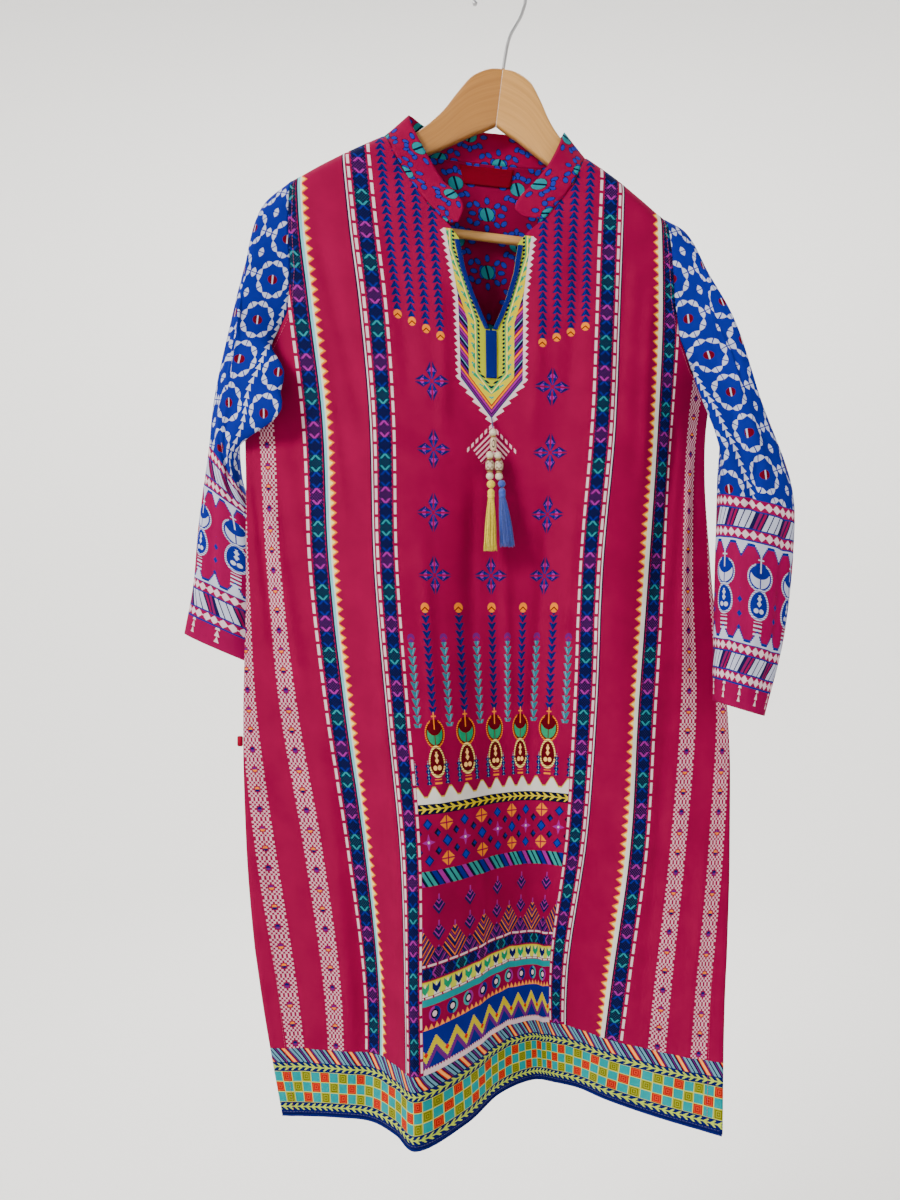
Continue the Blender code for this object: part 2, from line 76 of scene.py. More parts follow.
DEPTH = {
    0: [-8, -14, -18, -20, -20, -18, -16, -18, -20, -20, -18, -14, -8],
    105: [-8, -13, -19, -24, -26, -26, -25, -26, -26, -24, -19, -13, -8],
    179: [-4, -9, -18, -26, -30, -30, -26, -29, -30, -26, -18, -9, -4],
    288: [2, -2, -15, -26, -32, -30, -22, -26, -32, -28, -16, -4, 2],
    438: [4, -3, -14, -26, -34, -28, -8, -10, -26, -26, -14, -6, 0],
    589: [6, -3, -12, -26, -38, -24, 6, 12, -12, -20, -14, -8, -4],
    738: [8, -1, -8, -26, -42, -18, 22, 38, 22, 4, -6, -10, -10],
    889: [12, 4, -1, -24, -46, -10, 42, 66, 56, 36, 14, -2, -16],
    1029: [16, 12, 4, -20, -48, 0, 58, 88, 82, 70, 48, 16, -22],
}
HOLLOW = [(0.0, 0.036), (0.179, 0.042), (0.288, 0.040), (0.438, 0.034), (0.738, 0.028), (1.029, 0.022)]

# Creases, listed in millimetres: the two ends on the cut (u, v), width, and depth (up is a ridge)
FRONT_CREASES = [
    (-176, 84, -150, 330, 9, -2.2), (-196, 150, -172, 420, 7, 2.0), (-232, 250, -196, 520, 11, -2.6),
    (-262, 300, -236, 610, 9, 2.4), (-286, 330, -262, 560, 7, -1.8), (-110, 60, -88, 300, 10, -1.6),
    (-60, 130, -52, 320, 8, 1.5), (52, 130, 44, 320, 8, 1.4), (96, 50, 84, 300, 10, -1.6),
    (150, 84, 140, 330, 9, -2.0), (182, 120, 176, 380, 7, 2.0), (224, 260, 208, 520, 10, -2.6),
    (256, 300, 250, 600, 9, 2.2), (-20, 310, -26, 620, 9, -2.2), (18, 330, 24, 640, 8, 2.0),
    (66, 330, 60, 700, 10, -2.4), (98, 340, 100, 640, 8, 1.8), (-84, 380, -78, 760, 9, 1.8),
    (-146, 420, -150, 900, 8, 2.2), (-196, 620, -188, 1029, 6, -2.8), (-228, 560, -238, 1029, 12, 2.4),
    (-300, 700, -306, 1029, 11, -1.8), (-20, 700, -30, 1029, 8, 2.0), (30, 780, 20, 1029, 8, -2.2),
    (96, 760, 92, 1029, 9, 2.4), (142, 700, 146, 1029, 9, -2.2), (190, 560, 188, 1000, 10, 2.0),
    (232, 520, 238, 1029, 11, -2.2), (292, 680, 300, 1029, 9, 1.8), (-150, 965, -200, 985, 6, 1.4),
    (-290, 968, -60, 962, 3, 0.8), (60, 962, 300, 968, 3, 0.8), (-120, 300, -30, 322, 10, -0.9),
    (30, 322, 130, 296, 10, -0.9), (160, 480, 60, 530, 12, -1.0), (-240, 640, -150, 690, 12, -1.0),
]


def curve_through(keys, values, at):
    """A smooth curve through the values, read at one or many places."""
    keys = np.asarray(keys, float)
    values = np.asarray(values, float)
    at = np.clip(np.asarray(at, float), keys[0], keys[-1])
    steps = np.diff(values, axis=0) / np.diff(keys).reshape((-1,) + (1,) * (values.ndim - 1))
    slopes = np.concatenate((steps[:1], (steps[1:] + steps[:-1]) / 2, steps[-1:]))
    i = np.clip(np.searchsorted(keys, at, side="right") - 1, 0, len(keys) - 2)
    gap = keys[i + 1] - keys[i]
    t = (at - keys[i]) / gap
    if values.ndim > 1:
        n = np.arange(values.shape[1])
        v0, v1, s0, s1 = values[i, n], values[i + 1, n], slopes[i, n], slopes[i + 1, n]
    else:
        v0, v1, s0, s1 = values[i], values[i + 1], slopes[i], slopes[i + 1]
    a = (1 + 2 * t) * (1 - t) ** 2 * v0 + t * (1 - t) ** 2 * gap * s0
    return a + t * t * (3 - 2 * t) * v1 + t * t * (t - 1) * gap * s1


def ease(t):
    t = np.clip(t, 0.0, 1.0)
    return t * t * (3 - 2 * t)


def rolled(distance):
    """How far the cloth has rolled over the hanger's edge, this far below the shoulder seam."""
    t = np.clip(distance / 0.020, 0.0, 1.0)
    return np.sqrt(1 - (1 - t) ** 2)


def read_table(table, u, v):
    """The values of a table of lines at many points of the cut."""
    rows = sorted(table)
    lines = np.array([curve_through(LINES, table[row], u / MM) for row in rows])
    return curve_through(rows, lines, v / MM) * MM


def half_width(v):
    return np.interp(v, [p[0] for p in SIDE_CUT], [p[1] for p in SIDE_CUT])


def shoulder_line(u):
    return SHOULDER_FALL * np.maximum(np.abs(u) - NECK_HALF, 0.0) / (SHOULDER_HALF - NECK_HALF)


def front_top(u):
    neck = np.interp(np.abs(u), [p[0] for p in FRONT_NECK_CUT], [p[1] for p in FRONT_NECK_CUT])
    return np.where(np.abs(u) >= NECK_HALF, shoulder_line(u), neck)


def back_top(u):
    neck = 0.008 * (1 - np.clip(np.abs(u) / NECK_HALF, 0, 1) ** 6)
    return np.where(np.abs(u) >= NECK_HALF, shoulder_line(u), neck)


def creased(u, v, creases):
    """Height of the listed creases at points of the cut."""
    height = np.zeros_like(u)
    for u0, v0, u1, v1, width, depth in creases:
        along_u, along_v = (u1 - u0) * MM, (v1 - v0) * MM
        length = math.hypot(along_u, along_v)
        t = ((u - u0 * MM) * along_u + (v - v0 * MM) * along_v) / length ** 2
        off = ((u - u0 * MM) * along_v - (v - v0 * MM) * along_u) / length
        off = off + 2.5 * MM * np.sin(5 * t + u0)
        height += 1.6 * depth * MM * np.exp(-(off / (width * MM)) ** 2) * ease(t * 3.5) * ease((1 - t) * 3.5)
    return height


def front_bare(u, v):
    """Points of the front's outer face before its creases."""
    u, v = np.atleast_1d(u).astype(float), np.atleast_1d(v).astype(float)
    x = read_table(ACROSS, u, v)
    y = -2.5 * MM + (read_table(DEPTH, u, v) + 2.5 * MM) * rolled(v - shoulder_line(u))
    z = -(0.187 + v) - 0.11 * x * (1 - ease(v / 0.45))
    return np.stack((x, y, z), -1)


def front_points(u, v):
    points = front_bare(u, v)
    room = ease((half_width(v) - np.abs(u)) / 0.018) * ease((v - shoulder_line(u)) / 0.05)
    turned_hem = 0.35 * MM * ease((np.abs(u) - half_width(v) + 0.021) / 0.002) * ease((v - SLIT_TOP) / 0.01)
    points[:, 1] -= creased(u, v, FRONT_CREASES) * room + turned_hem
    return points


def hollow(u, v):
    """Distance from the front's outer face to the back's outer face."""
    deep = np.interp(v, [p[0] for p in HOLLOW], [p[1] for p in HOLLOW])
    open_arm = 1 - np.clip((v - SHOULDER_FALL) / (UNDERARM - SHOULDER_FALL), 0.0, 1.0) ** 3
    edge = np.minimum(np.abs(u) / half_width(v), 1.0) ** 5
    across = 1 - edge * (1 - 0.85 * open_arm)
    across = np.where(v > SLIT_TOP, np.maximum(across, 0.35 * ease((v - SLIT_TOP) / 0.15)), across)
    return SIDE_SEAM_GAP + (deep - SIDE_SEAM_GAP) * rolled(v - shoulder_line(u)) * across


BACK_CREASES = [
    (-170, 80, -140, 360, 10, 2.0), (-90, 60, -70, 420, 12, -2.0), (0, 40, 10, 500, 14, 1.6),
    (80, 60, 70, 420, 12, -2.0), (160, 80, 150, 380, 10, 2.0), (-230, 300, -210, 640, 10, -2.4),
    (226, 300, 216, 640, 10, -2.4), (-120, 420, -130, 900, 11, 2.4), (-50, 480, -60, 1029, 12, -2.2),
    (30, 460, 36, 1029, 12, 2.2), (110, 440, 118, 1029, 11, -2.4), (190, 560, 196, 1029, 11, 2.2),
    (-200, 620, -206, 1029, 11, -2.2), (-290, 700, -296, 1029, 10, 1.8), (280, 700, 290, 1029, 10, -1.8),
]


def back_points(u, v):
    """Points of the back's outer face."""
    points = front_bare(u, v)
    room = ease((half_width(v) - np.abs(u)) / 0.018) * ease((v - back_top(u)) / 0.05)
    points[:, 1] += hollow(u, v) + creased(u, v, BACK_CREASES) * room
    return points


def lifted(points_at, u, v, distance):
    """Points of a panel, moved square to the cloth towards its outer side."""
    u, v = np.atleast_1d(u).astype(float), np.atleast_1d(v).astype(float)
    here = points_at(u, v)
    step = 1.5 * MM
    across = points_at(u + step, v) - here
    down = points_at(u, v + step) - here
    normal = np.cross(across, down)
    normal /= np.linalg.norm(normal, axis=1)[:, None]
    side = -1.0 if points_at is front_points else 1.0
    normal *= np.where(normal[:, 1] * side < 0, -1.0, 1.0)[:, None]
    return here + normal * np.reshape(distance, (-1, 1))


def grid_faces(rows, columns, closed=False, flip=False):
    faces = []
    for i in range(rows - 1):
        for j in range(columns if closed else columns - 1):
            k = (j + 1) % columns
            quad = (i * columns + j, (i + 1) * columns + j, (i + 1) * columns + k, i * columns + k)
            faces.append(quad[::-1] if flip else quad)
    return faces


def add_piece(name, mesh, materials, nodes=()):
    for material in materials if isinstance(materials, list) else [materials]:
        mesh.materials.append(material)
    mesh.shade_smooth()
    piece = bpy.data.objects.new(name, mesh)
    bpy.context.scene.collection.objects.link(piece)
    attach(piece, "root")
    if nodes:
        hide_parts(*nodes)
    return piece


def cloth_sheet(name, points, cut, rows, columns, materials, nodes, zone=None, closed=False, flip=False,
                wall=WALL, offset=-1.0):
    """A shell through rows of points. cut holds each point's place on the flat cloth, kept as its UV map."""
    mesh = bpy.data.meshes.new(name)
    faces = grid_faces(rows, columns, closed, flip)
    mesh.from_pydata([tuple(p) for p in points], [], faces)
    layer = mesh.uv_layers.new(name="cut")
    corner = np.array([loop.vertex_index for loop in mesh.loops])
    flat = np.array(cut, float)[corner]
    layer.data.foreach_set("uv", flat.astype(np.float32).ravel())
    piece = add_piece(name, mesh, materials, nodes)
    if zone:
        middle = flat.reshape(-1, 4, 2).mean(axis=1)
        mesh.polygons.foreach_set("material_index", [zone(a, b) for a, b in middle])
    thick = piece.modifiers.new("wall", "SOLIDIFY")
    thick.thickness = wall
    thick.offset = offset
    thick.use_even_offset = False
    return piece


class Signal:
    """A value running through a material's nodes, that takes plain arithmetic."""

    def __init__(self, tree, socket):
        self.tree = tree
        self.socket = socket

    def feed(self, target, value):
        if isinstance(value, Signal):
            self.tree.links.new(value.socket, target)
        else:
            target.default_value = value

    def node(self, kind, settings=None, inputs=None, output=0):
        """Any other node: its type, its settings, and the values or signals for its sockets."""
        node = self.tree.nodes.new(kind)
        for name, value in (settings or {}).items():
            setattr(node, name, value)
        for place, value in (inputs or {}).items():
            self.feed(node.inputs[place], value)
        return Signal(self.tree, node.outputs[output])

    def math(self, operation, *others):
        inputs = dict(enumerate((self, *others)))
        return self.node("ShaderNodeMath", {"operation": operation}, inputs)

    def __add__(self, other):
        return self.math("ADD", other)

    def __sub__(self, other):
        return self.math("SUBTRACT", other)

    def __mul__(self, other):
        return self.math("MULTIPLY", other)

    def __truediv__(self, other):
        return self.math("DIVIDE", other)

    def __lt__(self, other):
        return self.math("LESS_THAN", other)

    def __gt__(self, other):
        return self.math("GREATER_THAN", other)

    __radd__ = __add__
    __rmul__ = __mul__

    def __rsub__(self, other):
        return (self * -1.0) + other

    def __abs__(self):
        return self.math("ABSOLUTE")

    def __neg__(self):
        return self * -1.0

    def off(self, pitch):
        """Distance from the nearest of a row of places this far apart."""
        return self.math("WRAP", pitch / 2, -pitch / 2)

    def share(self, pitch):
        """How far through its repeat, from 0 to 1."""
        return (self / pitch).math("FRACT")

    def within(self, low, high):
        return (self > low) * (self < high)


class Print:
    """A cotton's printed colours, laid one over the other on the flat cut."""

    def __init__(self, name, ground, weave=0.12):
        self.material = bpy.data.materials.new(name)
        self.material.use_nodes = True
        tree = self.material.node_tree
        self.shader = tree.nodes["Principled BSDF"]
        place = tree.nodes.new("ShaderNodeUVMap")
        place.uv_map = "cut"
        parts = tree.nodes.new("ShaderNodeSeparateXYZ")
        tree.links.new(place.outputs[0], parts.inputs[0])
        self.u = Signal(tree, parts.outputs[0])
        self.v = Signal(tree, parts.outputs[1])
        self.spot = Signal(tree, place.outputs[0])
        self.tree = tree
        self.shader.inputs["Roughness"].default_value = 0.86
        self.shader.inputs["Specular IOR Level"].default_value = 0.07
        self.colour = self.u.node("ShaderNodeRGB")
        self.colour.socket.default_value = (*ground, 1)
        self.weave = weave

    def lay(self, mask, colour, strength=1.0):
        """Prints a colour where the mask is one."""
        inputs = {0: mask if strength == 1.0 else mask * strength, 6: self.colour}
        inputs[7] = colour if isinstance(colour, Signal) else (*colour, 1)
        self.colour = self.u.node("ShaderNodeMix", {"data_type": "RGBA"}, inputs, 2)

    def done(self):
        """Uneven dye, the weave's fine bump, and the finished material."""
        cloudy = self.u.node("ShaderNodeTexNoise", None, {0: self.spot, 2: 26.0, 3: 3.0})
        shade = cloudy.node("ShaderNodeMapRange", None, {0: cloudy, 1: 0.3, 2: 0.7, 3: 0.90, 4: 1.06})
        deep = self.colour.node("ShaderNodeGamma", None, {0: self.colour, 1: 1.40})
        tinted = shade.node("ShaderNodeVectorMath", {"operation": "SCALE"}, {0: deep, 3: shade})
        self.tree.links.new(tinted.socket, self.shader.inputs["Base Color"])
        threads = self.u.node("ShaderNodeTexNoise", None, {0: self.spot, 2: 900.0, 3: 1.0})
        bump = threads.node("ShaderNodeBump", None, {0: self.weave, 1: 0.0004, 3: threads})
        self.tree.links.new(bump.socket, self.shader.inputs["Normal"])
        return self.material


CRIMSON = (0.335, 0.0, 0.096)
DEEP_RED = (0.17, 0.0, 0.02)
NAVY = (0.012, 0.014, 0.17)
INK = (0.006, 0.008, 0.06)
BLUE = (0.018, 0.034, 0.29)
TEAL = (0.04, 0.30, 0.34)
GREEN = (0.03, 0.36, 0.20)
PURPLE = (0.20, 0.02, 0.24)
VIOLET = (0.38, 0.04, 0.34)
ORANGE = (0.80, 0.30, 0.02)
YELLOW = (0.66, 0.56, 0.02)
PALE_YELLOW = (0.88, 0.74, 0.28)
WHITE = (0.74, 0.58, 0.62)
CLEAN_WHITE = (0.72, 0.70, 0.66)
RED = (0.62, 0.03, 0.02)
OLIVE = (0.22, 0.22, 0.02)
TURQUOISE = (0.015, 0.36, 0.38)
GREY_BLUE = (0.20, 0.38, 0.48)


def arrow_column(cloth, across, v, first, last, width, pitch, colour, light, pointing, shown):
    """A column of small overlapping arrowheads, with a lighter stroke on one side."""
    t = v.share(pitch)
    t = t if pointing > 0 else 1.0 - t
    long = v.within(first, last) * shown
    head = (abs(across) < t * width * 0.5 + 0.0008) * (abs(across) > (t * 2.2 - 1.7) * width * 0.5) * long
    cloth.lay(head, colour)
    stroke = (abs(across + t * width * 0.30) < 0.0006) * (t > 0.25) * long
    cloth.lay(stroke, light)


def bud(cloth, across, down, radius, colour, dark, shown):
    """A round bud with a chevron cut in it."""
    near = ((across * across + down * down) < radius * radius) * shown
    cloth.lay(near, colour)
    chevron = abs(down - abs(across) * 0.8 + radius * 0.1) < radius * 0.16
    cloth.lay(near * chevron, dark)


def leaf_cross(cloth, across, down, reach, long):
    """An eight-leaf cross flower in blues and purples."""
    a = abs(across)
    b = abs(down)
    wide = a.math("MAXIMUM", b)
    thin = a.math("MINIMUM", b)
    leaf = (thin < wide * 0.62) * (thin + wide * 0.55 < reach * 0.80) * long
    cloth.lay(leaf * (thin > 0.0009), NAVY)
    tip = (wide > reach * 0.62) * (thin < (reach - wide) * 0.9) * (thin > 0.0008) * long
    cloth.lay(tip, VIOLET)
    vein = (abs(thin - wide * 0.30) < 0.0007) * (wide < reach * 0.75) * (wide > reach * 0.15) * long
    cloth.lay(vein, BLUE)


def drop_figure(cloth, across, down, outline, inner, horns, seed, ground, long):
    """A plain drop under a pair of horns, outlined in short strokes, with a plume and a barred foot."""
    a = abs(across)
    neck = down + 0.0145
    belly = down - 0.0140
    horn = across * across / 0.0128 ** 2 + neck * neck / 0.0150 ** 2
    cloth.lay((horn < 1.0) * long, ground)
    open_top = 1.0 - (a < 0.0050) * (neck < 0.0)
    cloth.lay(horn.within(0.78, 1.0) * open_top * (down.share(0.0022) < 0.74) * long, outline)
    lip = neck + 0.0080
    cup = (across * across + lip * lip) > 0.0098 ** 2
    cloth.lay((horn < 0.58) * cup * (neck > -0.0085) * (a > 0.0006) * long, horns)
    drop = across * across / (0.0106 ** 2) + belly * belly / (0.0165 ** 2) + (belly * -18.0) * across * across / 0.0106 ** 2
    cloth.lay((drop < 1.0) * long, ground)
    cloth.lay(drop.within(0.70, 1.0) * (down.share(0.0024) < 0.72) * long, inner)
    low = belly - 0.0065
    seeds = ((a - 0.0028) * (a - 0.0028) + low * low) < 0.0025 ** 2
    stalk = (a < 0.0006 + abs(down.off(0.0052)) * 0.75) * belly.within(-0.0100, 0.0020)
    cloth.lay((seeds + stalk).math("MINIMUM", 1.0) * long, seed)
    plume = (a < 0.0007) * down.within(-0.0370, -0.0190) + (abs(down + 0.0325) < 0.0007) * (a < 0.0030)
    foot = (a < 0.0046) * down.within(0.0320, 0.0480) * (down.share(0.0044) < 0.45)
    cloth.lay((plume + foot).math("MINIMUM", 1.0) * long, outline)


def dashes(cloth, off, along, half, pitch, share, colour, long=None):
    mask = (abs(off) < half) * (along.share(pitch) < share)
    cloth.lay(mask if long is None else mask * long, colour)


def lattice_band(cloth, off, along, half, long=None):
    """A woven-looking band of crosses in turn teal, blue, purple and blue, over a fine lattice."""
    pitch = 0.0164
    step = along.off(pitch)
    edge = abs(off) < half - (along / 0.0028).math("PINGPONG", 1.0) * 0.0012
    edge = edge if long is None else edge * long
    cloth.lay(edge, INK)
    turn = along.share(pitch * 4)
    one = (off + along).share(0.0030) < 0.55
    two = (off - along).share(0.0030) < 0.55
    fine = one * two * edge
    cross = (abs(abs(off) - abs(step)) < 0.0014) * (abs(step) < 0.0048) * edge
    for low, high, dull, bright in ((0.0, 0.25, (0.03, 0.13, 0.19), TEAL), (0.25, 0.5, (0.015, 0.02, 0.17), BLUE),
                                    (0.5, 0.75, PURPLE, VIOLET), (0.75, 1.0, (0.015, 0.02, 0.17), BLUE)):
        here = turn.within(low, high)
        cloth.lay(fine * here, dull)
        cloth.lay(cross * here, bright)


def inner_bands(cloth, long=None):
    """The two upright bands beside the middle, with their dashes and thin outer lines."""
    off = abs(cloth.u) - 0.126
    lattice_band(cloth, off, cloth.v, 0.0082, long)
    dashes(cloth, abs(off) - 0.0112, cloth.v, 0.0015, 0.0145, 0.78, WHITE, long)
    line = (off - 0.0152).math("COMPARE", 0.0, 0.0007)
    cloth.lay(line if long is None else line * long, (0.62, 0.66, 0.68))
    line = (off - 0.0168).math("COMPARE", 0.0, 0.0006)
    cloth.lay(line if long is None else line * long, INK)


def vine(cloth, along, off, half, pitch, colour, long):
    """A running vine of paired leaves."""
    x = (along + abs(off) * 1.3).share(pitch)
    leaf = (abs(x - 0.5) < 0.26 - abs(off) * 36.0) * (abs(off) < half) * long
    cloth.lay(leaf, colour)
    cloth.lay((abs(off) < 0.0006) * long, colour)


# The yoke carries rows of blue arrowheads that end in orange buds, and the slit's printed border.
yoke = Print("magenta cotton, yoke print", CRIMSON)
side = abs(yoke.u)
column = (side - 0.056).off(0.0155)
centre = side - column
end = 0.2075 - (centre - 0.056) * 0.43
rows = side.within(0.0485, 0.1098)
arrow_column(yoke, column, yoke.v, 0.0, end - 0.0035, 0.0092, 0.0074, NAVY, BLUE, 1, rows)
bud(yoke, column, yoke.v - end - 0.0012, 0.0045, ORANGE, DEEP_RED, rows)
leaf_cross(yoke, side - 0.068, yoke.v - 0.254, 0.0150, yoke.v > 0.230)
inner_bands(yoke)
# The border of the slit: a dotted yellow line, green and yellow triangles, slanting stripes, white points
slope = yoke.v.node("ShaderNodeMapRange", None, {0: yoke.v, 1: 0.118, 2: 0.190, 3: 0.0300, 4: 0.0075})
flare = yoke.v.node("ShaderNodeMapRange", None, {0: yoke.v, 1: 0.090, 2: 0.165, 3: 0.0465, 4: 0.0368})
straight = side - slope
pointed = (side * 1.13 + yoke.v - 0.247) * 0.663
ring = straight.math("MAXIMUM", pointed)
outer = (side - flare).math("MAXIMUM", pointed - 0.0290)
along = yoke.v + side * 0.25
tooth = (outer - 0.0040 + abs(along.off(0.0066)) * 1.15) < 0.0
top_end = yoke.v > 0.097
yoke.lay(tooth * (outer > -0.004) * top_end, WHITE)
inside = (outer < -0.0018) * top_end
slant = (along + side * 0.9).share(0.0215)
yoke.lay(inside, INK)
for low, high, colour in ((0.0, 0.14, VIOLET), (0.19, 0.33, PURPLE), (0.38, 0.46, GREY_BLUE),
                          (0.62, 0.74, PURPLE), (0.78, 0.83, RED), (0.83, 0.95, ORANGE)):
    yoke.lay(slant.within(low, high) * inside, colour)
green = ring.within(0.0098, 0.0172) * inside
yoke.lay(green, GREEN)
leafy = (abs(along.off(0.0098)) * 0.85 < ring - 0.0098) * green
yoke.lay(leafy, YELLOW)
yoke.lay((abs(ring - 0.0135) * 0.9 < abs((along + 0.0024).off(0.0098)) - 0.0034) * green, (0.02, 0.42, 0.34))
yoke.lay(abs(ring - 0.0172).math("LESS_THAN", 0.0006) * inside, YELLOW)
yoke.lay(abs(ring - 0.0098).math("LESS_THAN", 0.0006) * inside, PALE_YELLOW)
inner = (ring < 0.0095) * inside
yoke.lay(inner, (0.50, 0.52, 0.05))
hole = (ring - 0.0062) * (ring - 0.0062) + along.off(0.0042) * along.off(0.0042)
yoke.lay((hole < 0.0014 * 0.0014) * inner, INK)
yoke.lay((abs((ring - 0.0078)) < 0.0005) * inner, GREEN)
# White and pink leaves fanned out under the point of the border
slope = yoke.v - side * 0.92
leaves = slope.within(0.2935, 0.2975) * (side.share(0.0052) < 0.55) * (side < 0.0285)
strokes = slope.within(0.3010, 0.3250) * (slope.share(0.0058) < 0.46) * (side < 0.0215 - (slope - 0.3010) * 0.45)
yoke.lay((leaves + strokes * (side > 0.0015)).math("MINIMUM", 1.0), (0.80, 0.50, 0.58))
yoke_print = yoke.done()

# Below it are cross flowers, then blue and teal columns with buds, and a row of plain drop figures.
middle = Print("magenta cotton, middle print", CRIMSON)
side = abs(middle.u)
leaf_cross(middle, side - 0.068, (middle.v - 0.322).off(0.0640), 0.0150, (middle.v < 0.475) * (side > 0.03))
leaf_cross(middle, middle.u * 1.0, middle.v - 0.450, 0.0150, side < 0.03)
tall = side.off(0.0413)
centre_only = side < 0.112
arrow_column(middle, tall, middle.v, 0.489, 0.592, 0.0100, 0.0078, NAVY, BLUE, -1, centre_only)
bud(middle, tall, middle.v - 0.4835, 0.0052, ORANGE, DEEP_RED, centre_only)
short = (side - 0.0207).off(0.0413)
arrow_column(middle, short, middle.v, 0.519, 0.606, 0.0092, 0.0086, (0.05, 0.24, 0.30), GREY_BLUE, -1,
             centre_only)
bud(middle, short, middle.v - 0.5145, 0.0046, PURPLE, (0.42, 0.0, 0.10), centre_only)
drop_figure(middle, tall, middle.v - 0.6270, ORANGE, PALE_YELLOW, GREEN, (0.95, 0.62, 0.25), DEEP_RED, side < 0.104)
tail = abs(tall) - 0.0122
berries = (abs(tail) < 0.0036 - abs(middle.v.off(0.0062)) * 0.8) * middle.v.within(0.6440, 0.6740) * (side < 0.112)
middle.lay(berries, NAVY)
middle.lay((abs(tail) < 0.0006) * middle.v.within(0.6400, 0.6760) * (middle.v.share(0.0031) < 0.6) * (side < 0.112), GREY_BLUE)
inner_bands(middle)
middle_print = middle.done()

# The lower part is built up of bands: white points, a vine, lozenges, slanting stripes and chevrons.
lower = Print("magenta cotton, lower print", CRIMSON)
side = abs(lower.u)
core = side < 0.1125
teeth = abs(lower.u.off(0.0224)) * 1.0
edge = 0.6660 + (teeth * 2.6).math("MINIMUM", 0.0125)
edge = lower.v - 0.6665 - (teeth * 1.35 - 0.0022).math("MAXIMUM", 0.0).math("MINIMUM", 0.0098)
lower.lay((edge > 0.0) * (lower.v < 0.6845) * core, (0.62, 0.48, 0.10))
lower.lay((edge > 0.0016) * (lower.v < 0.6845) * core, CLEAN_WHITE)
band = lower.v.within(0.6840, 0.6945) * core
lower.lay(band, INK)
vine(lower, lower.u, lower.v - 0.6892, 0.0042, 0.0098, YELLOW, band)
lozenge = lower.v.within(0.6950, 0.7515) * core
down = lower.v - 0.7230
row = abs(down) - 0.0185
even = lower.u.off(0.0508)
odd = (lower.u - 0.0254).off(0.0508)
mark = (abs(even) + abs(row) * 1.05) < 0.0066
lower.lay(mark * lozenge, NAVY)
lower.lay(((abs(even) + abs(row) * 1.05) < 0.0044) * lozenge, (0.02, 0.06, 0.42))
mark = (abs(odd) + abs(row) * 1.15) < 0.0098
split = (abs(odd) > 0.0009) * (abs(row) > 0.0008)
lower.lay(mark * split * lozenge, ORANGE)
lower.lay(((abs(odd) + abs(down) * 1.05) < 0.0074) * lozenge, NAVY)
lower.lay(((abs(odd) + abs(down) * 1.05) < 0.0050) * lozenge, (0.02, 0.06, 0.42))
star = abs(even).math("MINIMUM", abs(down)) + abs(even).math("MAXIMUM", abs(down)) * 0.34
lower.lay((star < 0.0030) * (abs(even) < 0.0085) * (abs(down) < 0.0085) * lozenge, VIOLET)
lower.lay(((even * even + down * down) < 0.0014 * 0.0014) * lozenge, WHITE)
half = (lower.u - 0.0127).off(0.0254)
between = (abs(half) + abs(abs(down) - 0.0095)) < 0.0048
lower.lay(between * lozenge, INK)
lower.lay(((abs(half - 0.001) + abs(abs(down) - 0.0088)) < 0.0026) * lozenge, BLUE)
stripe = lower.v.within(0.7520, 0.7675) * core
slant = (lower.u - lower.v * 0.75).share(0.0340)
lower.lay(stripe, INK)
for low, high, colour in ((0.02, 0.17, (0.06, 0.36, 0.34)), (0.24, 0.39, (0.06, 0.36, 0.34)),
                          (0.48, 0.66, BLUE), (0.72, 0.90, VIOLET)):
    lower.lay(slant.within(low, high) * stripe, colour)


def chevrons(cloth, across, down, half, tall_by, pitch, colours, long):
    """A lozenge of nested chevrons that point down, with a small tip on top."""
    body = ((abs(across) + abs(down) * (half / tall_by)) < half) * long
    cloth.lay(body, INK)
    nest = (down + abs(across) * (tall_by / half)).share(pitch * len(colours))
    for k, colour in enumerate(colours):
        low = k / len(colours)
        cloth.lay(body * nest.within(low, low + 0.62 / len(colours)), colour)
    stem = (abs(across) < 0.0009) * (abs(down + tall_by) < 0.0030) * long
    cloth.lay(stem, VIOLET)


chevrons(lower, lower.u.off(0.0450), (lower.v - 0.7885).off(0.0270), 0.0088, 0.0092, 0.0034,
         (NAVY, VIOLET), lower.v.within(0.7740, 0.8290) * (side < 0.104))
chevrons(lower, (lower.u - 0.0225).off(0.0450), lower.v - 0.8330, 0.0185, 0.0220, 0.0036,
         (NAVY, (0.60, 0.16, 0.05), PURPLE, (0.72, 0.28, 0.08)), (lower.v < 0.8460) * core)
chevrons(lower, lower.u.off(0.0450), lower.v - 0.8460, 0.0150, 0.0180, 0.0034,
         (PURPLE, VIOLET, NAVY), lower.v.within(0.8290, 0.8460) * core)
dashes(lower, lower.v - 0.8478, lower.u, 0.0011, 0.0150, 0.80, WHITE, core)
lattice_band(lower, lower.v - 0.8560, lower.u, 0.0066, core)

foot = Print("magenta cotton, foot print", CRIMSON)
side = abs(foot.u)
core = side < 0.1125
heads = foot.v.within(0.8640, 0.8785) * core
foot.lay(heads, (0.62, 0.66, 0.10))
foot.lay((abs(foot.u.off(0.0155)) < (foot.v - 0.8640) * 0.30 - 0.0004) * heads, CLEAN_WHITE)
arrow = foot.u.off(0.0310)
notch = (abs(arrow) < 0.0056) * ((foot.v - 0.8660 + abs(arrow) * 0.9) > 0.0040) * (foot.v + abs(arrow) < 0.8775)
foot.lay(notch * heads, NAVY)
arrow = (foot.u - 0.0155).off(0.0310)
notch = (abs(arrow) < 0.0056) * ((foot.v - 0.8660 + abs(arrow) * 0.9) > 0.0040) * (foot.v + abs(arrow) < 0.8775)
foot.lay(notch * heads, GREEN)
foot.lay((abs(foot.v - 0.8645) < 0.0007) * core, YELLOW)
foot.lay((abs(foot.v - 0.8800) < 0.0008) * core * (foot.u.share(0.012) < 0.8), CLEAN_WHITE)
